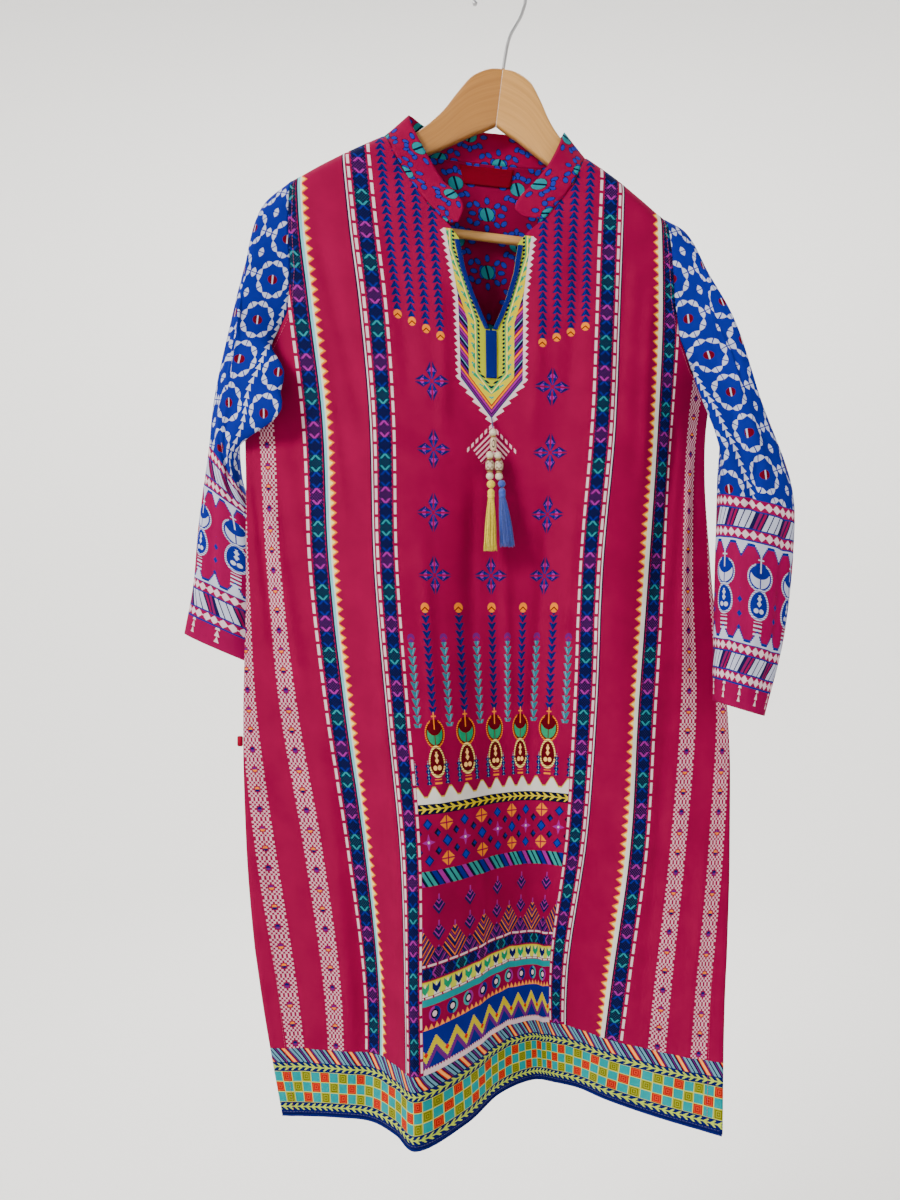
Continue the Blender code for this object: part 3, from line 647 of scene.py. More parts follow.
foot.lay(foot.v.within(0.8815, 0.8885) * core, (0.02, 0.36, 0.38))
ring_u = foot.u.off(0.0240)
ring_v = foot.v - 0.8980
round_r = (ring_u * ring_u + ring_v * ring_v).math("SQRT")
spin = foot.u.share(0.0720)
foot.lay((round_r < 0.0078) * (spin < 0.334) * core, (0.10, 0.40, 0.42))
foot.lay((round_r < 0.0078) * spin.within(0.334, 0.667) * core, VIOLET)
foot.lay((round_r < 0.0078) * (spin > 0.667) * core, BLUE)
foot.lay((round_r < 0.0050) * core, INK)
foot.lay((round_r < 0.0030) * core, WHITE)
points = foot.v.within(0.9070, 0.9125) * core
foot.lay((abs(foot.u.off(0.0072)) < (foot.v - 0.9070) * 0.62) * points, (0.92, 0.40, 0.08))
zone_blue = foot.v.within(0.9125, 0.9505) * core
foot.lay(zone_blue, (0.01, 0.03, 0.30))
wave = (foot.u / 0.0136).math("PINGPONG", 1.0)
hill = foot.v - 0.9390 + wave * 0.0180
jag = (foot.v / 0.0011).math("PINGPONG", 1.0) * 0.0016
foot.lay((hill > 0.0085) * zone_blue, (0.22, 0.03, 0.26))
foot.lay((hill > 0.0150) * zone_blue, BLUE)
foot.lay((abs(hill - 0.0030) < 0.0040 + jag) * zone_blue, YELLOW)
gem = (abs(foot.u.off(0.0272)) + abs(foot.v - 0.9375)) < 0.0030
foot.lay(gem * zone_blue, RED)
foot.lay((abs(foot.u.off(0.0036)) * 1.4 > 0.9525 - foot.v) * foot.v.within(0.9485, 0.9570) * core, WHITE)
inner_bands(foot)
inner_bands(lower)
lower_print = lower.done()
foot_print = foot.done()

# At the sides are the outer bands with their saw-tooth, and two columns of white stepped lozenges.
flank = Print("magenta cotton, side print", CRIMSON)
side = abs(flank.u)
off = side - 0.205
lattice_band(flank, off, flank.v, 0.0082)
dashes(flank, off - 0.0112, flank.v, 0.0015, 0.0145, 0.78, WHITE)
flank.lay(abs(off + 0.0094).math("LESS_THAN", 0.0009), INK)
left = flank.u < 0.0
flank.lay(abs(off + 0.0118).math("LESS_THAN", 0.0016) * left, (0.25, 0.58, 0.64))
flank.lay(abs(off + 0.0118).math("LESS_THAN", 0.0016) * (1.0 - left), CLEAN_WHITE)
flank.lay(abs(off + 0.0142).math("LESS_THAN", 0.0009), CLEAN_WHITE)
tooth = (off < -0.0150) * ((-off - 0.0150) < 0.0072 - abs(flank.v.off(0.0099)) * 1.45)
flank.lay(tooth, ORANGE)
flank.lay((off < -0.0150) * ((-off - 0.0150) < 0.0046 - abs(flank.v.off(0.0099)) * 1.45), PALE_YELLOW)
for middle_u in (0.258, 0.310):
    cell = 0.00235
    x = abs(side - middle_u) / cell
    x = x.math("ROUND")
    y = abs(flank.v.off(cell * 9)) / cell
    y = y.math("ROUND")
    steps = x + y
    inside = x < 4.5
    flank.lay(steps.math("COMPARE", 3.0, 0.3) * inside, (0.70, 0.46, 0.52))
    checks = steps.math("PINGPONG", 1.0) * (steps > 4.5) * inside
    flank.lay(checks, (0.70, 0.46, 0.52))
    spot = (side - middle_u) * (side - middle_u) + flank.v.off(cell * 9) * flank.v.off(cell * 9)
    dot = spot < 0.0026 * 0.0026
    turn = flank.v.share(cell * 27)
    flank.lay(dot * turn.within(0.0, 0.334), PURPLE)
    flank.lay(dot * turn.within(0.334, 0.667), ORANGE)
    flank.lay(dot * turn.within(0.667, 1.0), NAVY)
flank_print = flank.done()

# The hem's border runs the whole width: slanting stripes, vines, and three rows of squares.
border = Print("hem border print", NAVY)
drop = border.v - 0.957
slant = (border.u - drop * 0.85).share(0.0290)
top = drop < 0.0150
border.lay(top, INK)
for low, high, colour in ((0.0, 0.12, GREY_BLUE), (0.18, 0.30, GREY_BLUE), (0.37, 0.43, PURPLE), (0.48, 0.58, GREY_BLUE),
                          (0.66, 0.71, RED), (0.71, 0.84, (0.95, 0.48, 0.14)), (0.84, 0.88, RED), (0.92, 0.97, PURPLE)):
    border.lay(slant.within(low, high) * top, colour)
vine(border, border.u, drop - 0.0200, 0.0038, 0.0086, (0.52, 0.62, 0.10), drop.within(0.0150, 0.0250))
squares = drop.within(0.0250, 0.0586)
size_u, size_v = 0.0128, 0.0112
line = ((drop - 0.0250) / size_v).math("FLOOR")
place = (border.u / size_u).math("FLOOR")
border.lay(squares, TURQUOISE)
filled = ((place + line).math("WRAP", 2.0, 0.0) < 0.5) * squares
kind = ((place + line * 1.0).math("WRAP", 4.0, 0.0) < 1.0)
in_u = border.u.off(size_u * 1.0)
from_u = (border.u - size_u / 2).off(size_u)
from_v = (drop - 0.0250 - size_v / 2).off(size_v)
border.lay(filled * kind, OLIVE)
border.lay(filled * (1.0 - kind), (0.66, 0.08, 0.03))
hatch = (abs(from_u).math("MAXIMUM", abs(from_v)).share(0.0022) < 0.42)
border.lay(hatch * filled * kind, (0.38, 0.40, 0.06))
border.lay(hatch * filled * (1.0 - kind), (0.36, 0.03, 0.02))
line_mask = ((abs(from_u) > size_u / 2 - 0.0005) + (abs(from_v) > size_v / 2 - 0.0004)) * squares
border.lay(line_mask.math("MINIMUM", 1.0), (0.62, 0.66, 0.16))
vine(border, -border.u, drop - 0.0635, 0.0036, 0.0086, (0.52, 0.62, 0.10), drop.within(0.0586, 0.0690))
border_print = border.done()


def front_zone(u, v):
    if v > 0.957:
        return 5
    if abs(u) > 0.176:
        return 4
    if v < 0.300 or (abs(u) < 0.034 and v < 0.3390):
        return 0
    if v < 0.6645:
        return 1
    return 2 if v < 0.8632 else 3


def panel_grid(top, columns, dense):
    """The places on the cut of a panel's grid: curved rows below the neck, then straight rows that meet the bands."""
    s = np.linspace(-1, 1, columns)
    s = np.sign(s) * np.abs(s) ** 1.04
    start = top(s * SHOULDER_HALF)
    shares = [0.0, 0.005, 0.014, 0.028, 0.046, 0.068, 0.094, 0.125, *np.linspace(0.16, 1, round(52 * dense))]
    u_all, v_all = [], []
    for share in shares:
        u_all.append(s * half_width(SHOULDER_FALL + (0.300 - SHOULDER_FALL) * share))
        v_all.append(start + (0.300 - start) * share)
    stops = [(0.300, 0.339, 9), (0.339, 0.6645, 66), (0.6645, 0.8632, 42), (0.8632, 0.957, 20), (0.957, LENGTH, 18)]
    for low, high, count in stops:
        for v in np.linspace(low, high, round(count * dense) + 1)[1:]:
            u_all.append(s * half_width(v))
            v_all.append(np.full(columns, v))
    return np.concatenate(u_all), np.concatenate(v_all), len(u_all), columns


u, v, rows_made, columns_made = panel_grid(front_top, 165, 1.0)
front = cloth_sheet("front_cloth", front_points(u, v), np.stack((u, v), -1), rows_made, columns_made,
                    [yoke_print, middle_print, lower_print, foot_print, flank_print, border_print],
                    ["front_panel"], front_zone)

# Back panel
# The same light cotton in a scattered petal print, cut in one piece and seamed to the front at the
# shoulders and sides. It shows inside the neck and past the open side slits.


def petal_print(name, ground, dark=1.0):
    """Scattered pairs of blue petals in rings and zigzags, with split teal rounds between."""
    cloth = Print(name, ground)
    pitch = 0.062
    for shift_u, shift_v, reach in ((0.0, 0.0, 0.0150), (pitch / 2, pitch / 2, 0.0150), (0.0, pitch / 2, 0.0285)):
        x = (cloth.u + shift_u).off(pitch)
        y = (cloth.v + shift_v).off(pitch)
        r = (x * x + y * y).math("SQRT")
        turn = y.math("ARCTAN2", x).off(math.pi / 4 if reach < 0.02 else math.pi / 7)
        petal = (r - reach) * (r - reach) / 0.0044 ** 2 + turn * turn * r * r / 0.0030 ** 2
        cloth.lay(petal < 1.0, INK)
        cloth.lay(petal < 0.62, (0.05 * dark, 0.06 * dark, 0.42 * dark))
    for shift in (0.0, pitch / 2):
        x = (cloth.u + shift).off(pitch)
        y = (cloth.v + shift).off(pitch)
        disc = (x * x + y * y) < 0.0078 ** 2
        cloth.lay(disc, INK)
        disc = (x * x + y * y) < 0.0072 ** 2
        cloth.lay(disc * (abs(x - y * 0.25) > 0.0011), TEAL)
    return cloth.done()


# The back's ground is the collar's magenta darkened to about 0.87 of it: painted shade over the whole back panel, which
# shows inside the neck and past the side slits.
petals = petal_print("magenta cotton, petal print in painted shade", (0.29, 0.0, 0.080))
u, v, rows_made, columns_made = panel_grid(back_top, 121, 0.72)
back = cloth_sheet("back_cloth", back_points(u, v), np.stack((u, v), -1), rows_made, columns_made, [petals],
                   ["back_panel"], None, flip=True)

# Sleeves
# Three-quarter tubes of royal blue print with a deep banded border, set into the armholes.
# The left one falls behind the body's edge and the right one in front of it.

# One row for each section from the armhole to the cuff, in millimetres: outer x, outer z, inner x, inner z,
# middle depth, half thickness, and how far the underarm cloth bulges in and forward
SLEEVE_LEFT = [
    (-250, -246, -276, -446, 0, 25, 46, 6),
    (-266, -300, -278, -468, 2, 28, 50, 12),
    (-282, -362, -279, -486, 6, 29, 50, 18),
    (-303, -440, -281, -510, 16, 27, 0, 0),
    (-318, -503, -276, -548, 36, 21, 0, 0),
    (-331, -580, -240, -605, 43, 20, 0, 0),
    (-337, -645, -236, -675, 44, 20, 0, 0),
    (-347, -699, -234, -746, 44, 21, 0, 0),
]
SLEEVE_RIGHT = [
    (194, -275, 229, -452, -2, 26, -28, 10),
    (213, -318, 230, -476, -12, 27, -26, 12),
    (238, -378, 228, -504, -28, 26, -18, 9),
    (262, -462, 220, -536, -40, 22, -4, 4),
    (291, -545, 217, -590, -43, 21, 0, 0),
    (293, -612, 215, -650, -44, 21, 0, 0),
    (283, -700, 214, -715, -44, 22, 0, 0),
    (263, -779, 213, -764, -45, 22, 0, 0),
]
SLEEVE_ROUND = 0.240
SLEEVE_LONG = 0.430
BORDER_CUT = 0.221
BORDER_DEEP = 0.209

plain_blue = Print("royal blue cotton, ring print", (0.018, 0.040, 0.32))
SKY_WHITE = (0.56, 0.58, 0.70)
across = plain_blue.u.off(0.0400)
down = plain_blue.v.off(0.0450)
r = (across * across / 0.0138 ** 2 + down * down / 0.0178 ** 2).math("SQRT")
leaf = abs((down / 0.0178).math("ARCTAN2", across / 0.0138).off(math.pi / 4))
plain_blue.lay((abs(r - 1.0) < 0.170 - leaf * leaf * 1.05) * (leaf > 0.030), SKY_WHITE)
disc = (across * across + down * down) < 0.0047 ** 2
plain_blue.lay(disc, (0.20, 0.0, 0.03))
plain_blue.lay(disc * (abs(across - down * 0.25) < 0.0007), SKY_WHITE)
between = (plain_blue.u - 0.0200).off(0.0400)
beside = plain_blue.v.off(0.0225)
plain_blue.lay((abs(between) < 0.0027 - beside * beside * 95.0) * (abs(beside) > 0.0005), SKY_WHITE)
column = (plain_blue.u - 0.0600).off(0.1200)
plain_blue.lay(abs(column) < 0.0042, (0.018, 0.040, 0.32))
plain_blue.lay(abs(column) < plain_blue.v.share(0.0078) * 0.0027, SKY_WHITE)
ring_print = plain_blue.done()

cuff = Print("royal blue cotton, cuff border", (0.35, 0.0, 0.12))
drop = cuff.v - (SLEEVE_LONG - BORDER_CUT)
MID_BLUE = (0.02, 0.04, 0.30)
for low, high in ((0.0, 0.0136), (0.0330, 0.0456), (0.1532, 0.1652), (0.1842, 0.1962)):
    middle_line = (low + high) / 2
    across = cuff.u.off(0.0160)
    down = abs(drop - middle_line)
    fish = (down < 0.0048 - abs(abs(across) - 0.0040) * 1.1) * (abs(across) > 0.0012)
    cuff.lay((fish + (down < 0.0006)).math("MINIMUM", 1.0) * drop.within(low, high), WHITE)
    edge = abs(down - (high - low) / 2) < 0.0010
    cuff.lay(edge * drop.within(low - 0.001, high + 0.001), MID_BLUE)
for low, high in ((0.0142, 0.0324), (0.1658, 0.1836)):
    here = drop.within(low, high)
    slant = (cuff.u - drop * 0.42).share(0.0290)
    cuff.lay(here, (0.03, 0.02, 0.12))
    cuff.lay(here * slant.within(0.04, 0.16), SKY_WHITE)
    cuff.lay(here * slant.within(0.20, 0.40), SKY_WHITE)
    cuff.lay(here * slant.within(0.44, 0.60), SKY_WHITE)
    cuff.lay(here * slant.within(0.66, 0.74), (0.35, 0.0, 0.12))
    cuff.lay(here * slant.within(0.80, 0.90), (0.30, 0.02, 0.16))
wide = drop.within(0.0462, 0.1532)
for edge_at, way in ((0.0462, 1.0), (0.1532, -1.0)):
    depth = (drop - edge_at) * way
    step = (abs(cuff.u.off(0.0200)) / 0.0012).math("FLOOR") * 0.0012
    zig = (0.0135 - step * 1.9).math("MAXIMUM", 0.0018)
    cuff.lay((depth < zig + 0.0030) * wide, MID_BLUE)
    cuff.lay((depth < zig) * wide, SKY_WHITE)
drop_figure(cuff, (cuff.u - 0.0200).off(0.0400), drop - 0.0960, SKY_WHITE, SKY_WHITE, SKY_WHITE, SKY_WHITE, MID_BLUE, wide)
x = cuff.u.off(0.0400)
y = drop - 0.1080
berry = (abs(x) + abs(y.off(0.0150)) * 0.8) < 0.0030
cuff.lay(berry * drop.within(0.0960, 0.1380), MID_BLUE)
last = drop > 0.1972
cuff.lay(last * (abs(cuff.u.off(0.0240)) < drop.share(0.0074) * 0.0022) * (drop < 0.2140), WHITE)
cuff_print = cuff.done()


def armhole_loop(side, count):
    """The armhole's edge, from the shoulder down the front, and up the back."""
    turn = 2 * np.arange(count) / count
    down = np.where(turn <= 1, turn, 2 - turn)
    v = SHOULDER_FALL + (UNDERARM - SHOULDER_FALL) * (1 - np.cos(math.pi * down)) / 2
    u = side * half_width(v)
    on_front = (turn <= 1)[:, None]
    loop = np.where(on_front, front_points(u, v), back_points(u, v))
    loop[:, 0] += side * np.where(turn <= 1, 0.3, 0.6) * MM
    loop[:, 2] += 0.4 * MM
    loop[0] += (0, SIDE_SEAM_GAP / 2, 0.5 * WALL)
    bottom = count // 2
    loop[bottom] += (side * WALL, SIDE_SEAM_GAP / 2, 0)
    return loop


def sleeve_ring(row, count):
    outer_x, outer_z, inner_x, inner_z, middle_y, half, bulge, forward = [value * MM for value in row]
    angle = 2 * math.pi * np.arange(count) / count
    along = (1 + np.cos(angle)) / 2
    swell = np.exp(-((np.degrees(angle) - 140) / 24) ** 2)
    sine = np.sin(angle)
    x = inner_x + (outer_x - inner_x) * along + bulge * swell
    z = inner_z + (outer_z - inner_z) * along
    y = middle_y - half * np.sign(sine) * np.abs(sine) ** 0.8 - forward * swell
    return np.stack((x, y, z), -1)


# Creases of a sleeve: (degrees round, share down) of both ends, width in degrees, depth in millimetres
SLEEVE_CREASES = [
    (60, 0.05, 80, 0.50, 10, -2.4), (95, 0.10, 70, 0.60, 9, 2.2), (120, 0.25, 96, 0.72, 9, -2.4),
    (30, 0.20, 44, 0.66, 9, 1.8), (74, 0.52, 112, 0.62, 8, -2.2), (50, 0.60, 56, 0.99, 9, -1.6),
    (100, 0.62, 92, 0.99, 8, 1.6), (134, 0.60, 138, 0.99, 9, -1.4), (230, 0.10, 250, 0.60, 12, 2.0),
    (280, 0.15, 262, 0.70, 12, -2.0), (310, 0.30, 300, 0.95, 11, 1.6), (240, 0.55, 236, 0.99, 11, -1.6),
]


def sleeve_cloth(name, side, table, nodes):
    """A sleeve on rings from the armhole to the cuff, its border an even depth above the cuff all round."""
    count, above, below = 96, 72, 84
    places = np.array([0, 0.09] + list(np.linspace(0.22, 1, len(table) - 1)))
    stations = np.array([armhole_loop(side, count)] + [sleeve_ring(row, count) for row in table])
    even = np.linspace(0, 1, 400)
    points, cut = np.zeros((above + below, count, 3)), np.zeros((above + below, count, 2))
    for j in range(count):
        trial = np.stack([curve_through(places, stations[:, j, k], even) for k in range(3)], -1)
        walked = np.concatenate(([0], np.cumsum(np.linalg.norm(np.diff(trial, axis=0), axis=1))))
        border_at = np.interp(walked[-1] - BORDER_DEEP, walked, even)
        t = np.concatenate((border_at * np.linspace(0, 1, above) ** 1.1, np.linspace(border_at, 1, below + 1)[1:]))
        points[:, j] = np.stack([curve_through(places, stations[:, j, k], t) for k in range(3)], -1)
        turn = 360 * j / count
        height = np.zeros(len(t))
        for a0, t0, a1, t1, wide, deep in SLEEVE_CREASES:
            share = (t - t0) / (t1 - t0)
            gap = (turn - a0 - (a1 - a0) * share + 180) % 360 - 180
            height += 1.3 * deep * MM * np.exp(-(gap / wide) ** 2) * ease(share * 4) * ease((1 - share) * 6)
        centre = stations.mean(axis=1)
        away = points[:, j] - np.stack([curve_through(places, centre[:, k], t) for k in range(3)], -1)
        away /= np.linalg.norm(away, axis=1)[:, None]
        points[:, j] += away * (height * ease(t / 0.12))[:, None]
        cut[:, j, 0] = SLEEVE_ROUND * j / count
        cut[:, j, 1] = SLEEVE_LONG - (walked[-1] - np.interp(t, even, walked)) * BORDER_CUT / BORDER_DEEP
    piece = cloth_sheet(name, points.reshape(-1, 3), cut.reshape(-1, 2), above + below, count,
                        [ring_print, cuff_print], nodes, closed=True, flip=side > 0)
    # Above the border the print runs straight down the sleeve, and is folded round its outer edge.
    line = points[above - 1, 0] - points[0, 0]
    line[1] = 0
    line /= np.linalg.norm(line)
    square = np.array((line[2], 0, -line[0])) * side
    across = (points - points[above - 1, 0]) @ square + 0.020
    depth = np.abs(points[:, :, 1] - points[:, :1, 1])
    full = np.where(np.arange(count) < count // 2, depth[:, :count // 2].max(axis=1)[:, None],
                    depth[:, count // 2:].max(axis=1)[:, None])
    outer_half = np.cos(2 * math.pi * np.arange(count) / count) > 0
    settled = ease(np.arange(above + below) / above * 2.5)[:, None]
    across += np.where(outer_half, depth - full, (full - depth) * 0.5) * settled
    down = (points - points[above - 1, 0]) @ line
    layer = piece.data.uv_layers["cut"].data
    for face in piece.data.polygons:
        row, column = divmod(face.index, count)
        face.material_index = 0 if row < above - 1 else 1
        for k in face.loop_indices:
            i, j = divmod(piece.data.loops[k].vertex_index, count)
            if row >= above - 1:
                layer[k].uv = (SLEEVE_ROUND * (count if j < column - 1 else j) / count, cut[i, j, 1])
            elif column < count // 2:
                layer[k].uv = (across[i, j], down[i, j])
            else:
                layer[k].uv = (2 * across[i, 0] - across[i, j], down[i, j])
    return piece


left_sleeve = sleeve_cloth("sleeve_cloth_left", -1, SLEEVE_LEFT, ["sleeve_left"])
right_sleeve = sleeve_cloth("sleeve_cloth_right", 1, SLEEVE_RIGHT, ["sleeve_right"])

# Collar
# A soft stand collar, one doubled band of the petal print, seamed round the neck and open at the slit.
# Each station is a place on the neck line and the way from the seam up to the collar's top edge.
COLLAR = [
    (-0.041, "front", 11, 0, 1), (-0.050, "front", 26, -1, 8), (-0.064, "front", 32, 0, 6),
    (-0.078, "front", 36, 2, -3), (-0.090, "front", 32, 4, 4), (-0.098, "front", 26, -1, 22),
    (-0.070, "back", 14, 3, 30), (-0.035, "back", 3, 4, 35), (0.0, "back", 0, 4, 36),
    (0.035, "back", -3, 4, 36), (0.070, "back", -12, 3, 33), (0.091, "back", -18, 2, 31),
    (0.098, "front", -23, -1, 27), (0.090, "front", -28, 2, 14), (0.080, "front", -33, 2, 11),
    (0.068, "front", -36, 0, 10), (0.060, "front", -34, -1, 7), (0.056, "front", -22, 0, 3),
]
seam, edge = [], []
for u, panel_side, dx, dy, dz in COLLAR:
    rise = np.array((dx, dy, dz)) * MM
    if panel_side == "front":
        start = front_points(np.array([u]), front_top(np.array([u])))[0]
        start[1] -= 0.8 * MM * (1 - abs(u) / NECK_HALF)
    else:
        start = back_points(np.array([u]), back_top(np.array([u])))[0]
    seam.append(start + rise / np.linalg.norm(rise) * 0.15 * MM)
    edge.append(start + rise)
seam, edge = np.array(seam), np.array(edge)
places = np.linspace(0, 1, len(COLLAR))
around = np.linspace(0, 1, 150)
low = np.stack([curve_through(places, seam[:, k], around) for k in range(3)], -1)
high = np.stack([curve_through(places, edge[:, k], around) for k in range(3)], -1)
walk = np.concatenate(([0], np.cumsum(np.linalg.norm(np.diff((low + high) / 2, axis=0), axis=1))))
points, cut = [], []
for w in np.linspace(0, 1, 13):
    points.append(low + (high - low) * w)
    cut.append(np.stack((walk, np.full(len(walk), 0.037 * w)), -1))
collar_print = petal_print("magenta cotton, collar print", (0.335, 0.0, 0.092))
collar = cloth_sheet("collar_cloth", np.concatenate(points), np.concatenate(cut), 13, 150, [collar_print],
                     ["collar"], None, wall=1.6 * MM, offset=0.0)

# Neck binding and placket
# Narrow navy bias strips folded over the slit's edges, closed below the opening by a short placket.
navy_print = Print("navy bias cotton", (0.014, 0.03, 0.22))
navy_cloth = navy_print.done()


def strip(name, points_at, places, lift, thickness, material, nodes, flip=False):
    """A strip lying on a panel, through rows of places on its cut."""
    rows, columns = len(places), len(places[0])
    u = np.array([p[0] for row in places for p in row])
    v = np.array([p[1] for row in places for p in row])
    bulge = np.tile(np.sin(np.linspace(0, math.pi, columns)) * 0.35 * MM, rows)
    points = lifted(points_at, u, v, lift + bulge)
    return cloth_sheet(name, points, np.stack((u, v), -1), rows, columns, [material], nodes, None,
                       flip=flip, wall=thickness, offset=1.0)


for side, word in ((-1, "left"), (1, "right")):
    rows = []
    for v in np.linspace(0.108, 0.197, 40):
        inner_edge = np.interp(-v, [-p[1] for p in FRONT_NECK_CUT], [p[0] for p in FRONT_NECK_CUT]) + 0.4 * MM
        rows.append([(side * (inner_edge + 5 * MM * w), v) for w in np.linspace(0, 1, 7)])
    strip("binding_" + word, front_points, rows, 0.35 * MM, 0.9 * MM, navy_cloth,
          ["neck_binding_" + word], side < 0)
rows = [[(u, v) for u in np.linspace(-0.006, 0.006, 9)] for v in np.linspace(0.1985, 0.247, 20)]
strip("placket_strip", front_points, rows, 0.35 * MM, 1.2 * MM, navy_cloth, ["placket"])

# Hem piping
# A thin navy cord cover sewn along the lower edge of the front and of the back.


def round_tube(name, line, radii, material, nodes=(), sides=10, ends=True):
    """A round tube along a line of points, its ends closed."""
    line = np.asarray(line, float)
    radii = np.broadcast_to(radii, len(line))
    ahead = np.gradient(line, axis=0)
    ahead /= np.linalg.norm(ahead, axis=1)[:, None]
    first = np.cross(ahead, (0.13, 1.0, 0.07))
    first /= np.linalg.norm(first, axis=1)[:, None]
    second = np.cross(ahead, first)
    angle = np.arange(sides) * 2 * math.pi / sides
    ring = first[:, None] * np.cos(angle)[:, None] + second[:, None] * np.sin(angle)[:, None]
    points = (line[:, None] + ring * radii[:, None, None]).reshape(-1, 3)
    faces = grid_faces(len(line), sides, closed=True, flip=True)
    if ends:
        faces.append(tuple(range(sides)))
        faces.append(tuple(reversed(range((len(line) - 1) * sides, len(line) * sides))))
    mesh = bpy.data.meshes.new(name)
    mesh.from_pydata([tuple(p) for p in points], [], faces)
    shape = bmesh.new()
    shape.from_mesh(mesh)
    bmesh.ops.recalc_face_normals(shape, faces=shape.faces)
    shape.to_mesh(mesh)
    shape.free()
    layer = mesh.uv_layers.new(name="cut")
    walk = np.concatenate(([0], np.cumsum(np.linalg.norm(np.diff(line, axis=0), axis=1))))
    for loop in mesh.loops:
        step, place = divmod(loop.vertex_index, sides)
        layer.data[loop.index].uv = (walk[step], place / sides * 2 * math.pi * radii.max())
    return add_piece(name, mesh, material, nodes)


for word, points_at in (("front", front_points), ("back", back_points)):
    u = np.linspace(-0.3445, 0.3445, 240)
    line = points_at(u, np.full(len(u), LENGTH))
    line[:, 1] += 0.6 * MM if word == "front" else -0.6 * MM
    line[:, 2] -= 1.3 * MM
    round_tube("piping_" + word, line, 1.15 * MM, navy_cloth, ["hem_piping_" + word])

# Neck label
# A small red woven label, sewn at the back of the neck and left bare here.
label_print = Print("woven red label", (0.24, 0.0, 0.03))
label_material = label_print.done()
rows = []
for w in np.linspace(0, 1, 10):
    half_label = (27 - 4 * w) * MM
    u = np.linspace(-half_label, half_label, 24)
    line = back_points(u, np.full(24, (11 + 20 * w) * MM))
    line[:, 1] -= WALL + 0.35 * MM + 1.0 * MM * w
    rows.append((line, np.stack((u, np.full(24, 0.02 * w)), -1)))
label = cloth_sheet("label_tape", np.concatenate([r[0] for r in rows]), np.concatenate([r[1] for r in rows]), 10, 24,
                    [label_material], ["neck_label"], None, wall=0.6 * MM, offset=1.0)

# Side tab
# A little folded loop of cotton tape, caught in the left side seam at the top of the slit.
tab_print = Print("red cotton tape", (0.40, 0.0, 0.06))
tab_material = tab_print.done()
seat = front_points(np.array([-half_width(SLIT_TOP)]), np.array([SLIT_TOP]))[0]
mesh = bpy.data.meshes.new("tab_loop")
shape = bmesh.new()
bmesh.ops.create_cube(shape, size=1.0)
bmesh.ops.scale(shape, vec=(6 * MM, 2.4 * MM, 11 * MM), verts=shape.verts)
bmesh.ops.bevel(shape, geom=shape.edges[:], offset=0.8 * MM, segments=4, affect="EDGES")
bmesh.ops.translate(shape, vec=tuple(seat + (-3.75 * MM, 1.5 * MM, 0)), verts=shape.verts)
shape.to_mesh(mesh)
shape.free()
mesh.uv_layers.new(name="cut")
add_piece("tab_loop", mesh, tab_material, ["side_tab"])

# Hanger
# Two arms of light lacquered wood, mitred together under the hook, with a round bar between their ends.
# Both arms narrow as they run out and down, and their edges are well rounded.
ARM = [(0.15, 0, 60), (12, 1, 67), (22, 5, 72), (32, 12, 78), (45, 31, 86), (55, 48, 92), (66, 62, 98),
       (80, 76, 106), (98, 90, 116), (120, 107, 129), (150, 122, 146), (186, 144, 167), (198, 154, 173), (203, 160, 168)]


def wood(name, pale, dark):
    """Lacquered wood with straight grain along the piece's own length."""
    material = bpy.data.materials.new(name)
    material.use_nodes = True
    tree = material.node_tree
    shader = tree.nodes["Principled BSDF"]
    place = tree.nodes.new("ShaderNodeUVMap")
    place.uv_map = "cut"
    spot = Signal(tree, place.outputs[0])
    long = spot.node("ShaderNodeMapping", None, {0: spot, 3: (9.0, 210.0, 1.0)})
    grain = long.node("ShaderNodeTexNoise", None, {0: long, 2: 1.0, 3: 5.0, 4: 0.6})
    fine = spot.node("ShaderNodeMapping", None, {0: spot, 3: (30.0, 1500.0, 1.0)})
    pores = fine.node("ShaderNodeTexNoise", None, {0: fine, 2: 1.0, 3: 2.0})
    shade = grain.node("ShaderNodeMapRange", None, {0: grain * 0.75 + pores * 0.25, 1: 0.36, 2: 0.66})
    colour = shade.node("ShaderNodeMix", {"data_type": "RGBA"}, {0: shade, 6: (*pale, 1), 7: (*dark, 1)}, 2)
    tree.links.new(colour.socket, shader.inputs["Base Color"])
    bump = pores.node("ShaderNodeBump", None, {0: 0.06, 1: 0.0003, 3: pores})
    tree.links.new(bump.socket, shader.inputs["Normal"])
    shader.inputs["Roughness"].default_value = 0.42
    shader.inputs["Coat Weight"].default_value = 0.18
    shader.inputs["Coat Roughness"].default_value = 0.3
    return material


def hanger_place(out, drop, depth):
    """A point given in the hanger's own frame, turned as the hanger hangs."""
    return Vector((0.003, 0.0, -0.1007)) + Matrix.Rotation(math.radians(7.0), 3, "Y") @ Vector((out, depth, -drop))


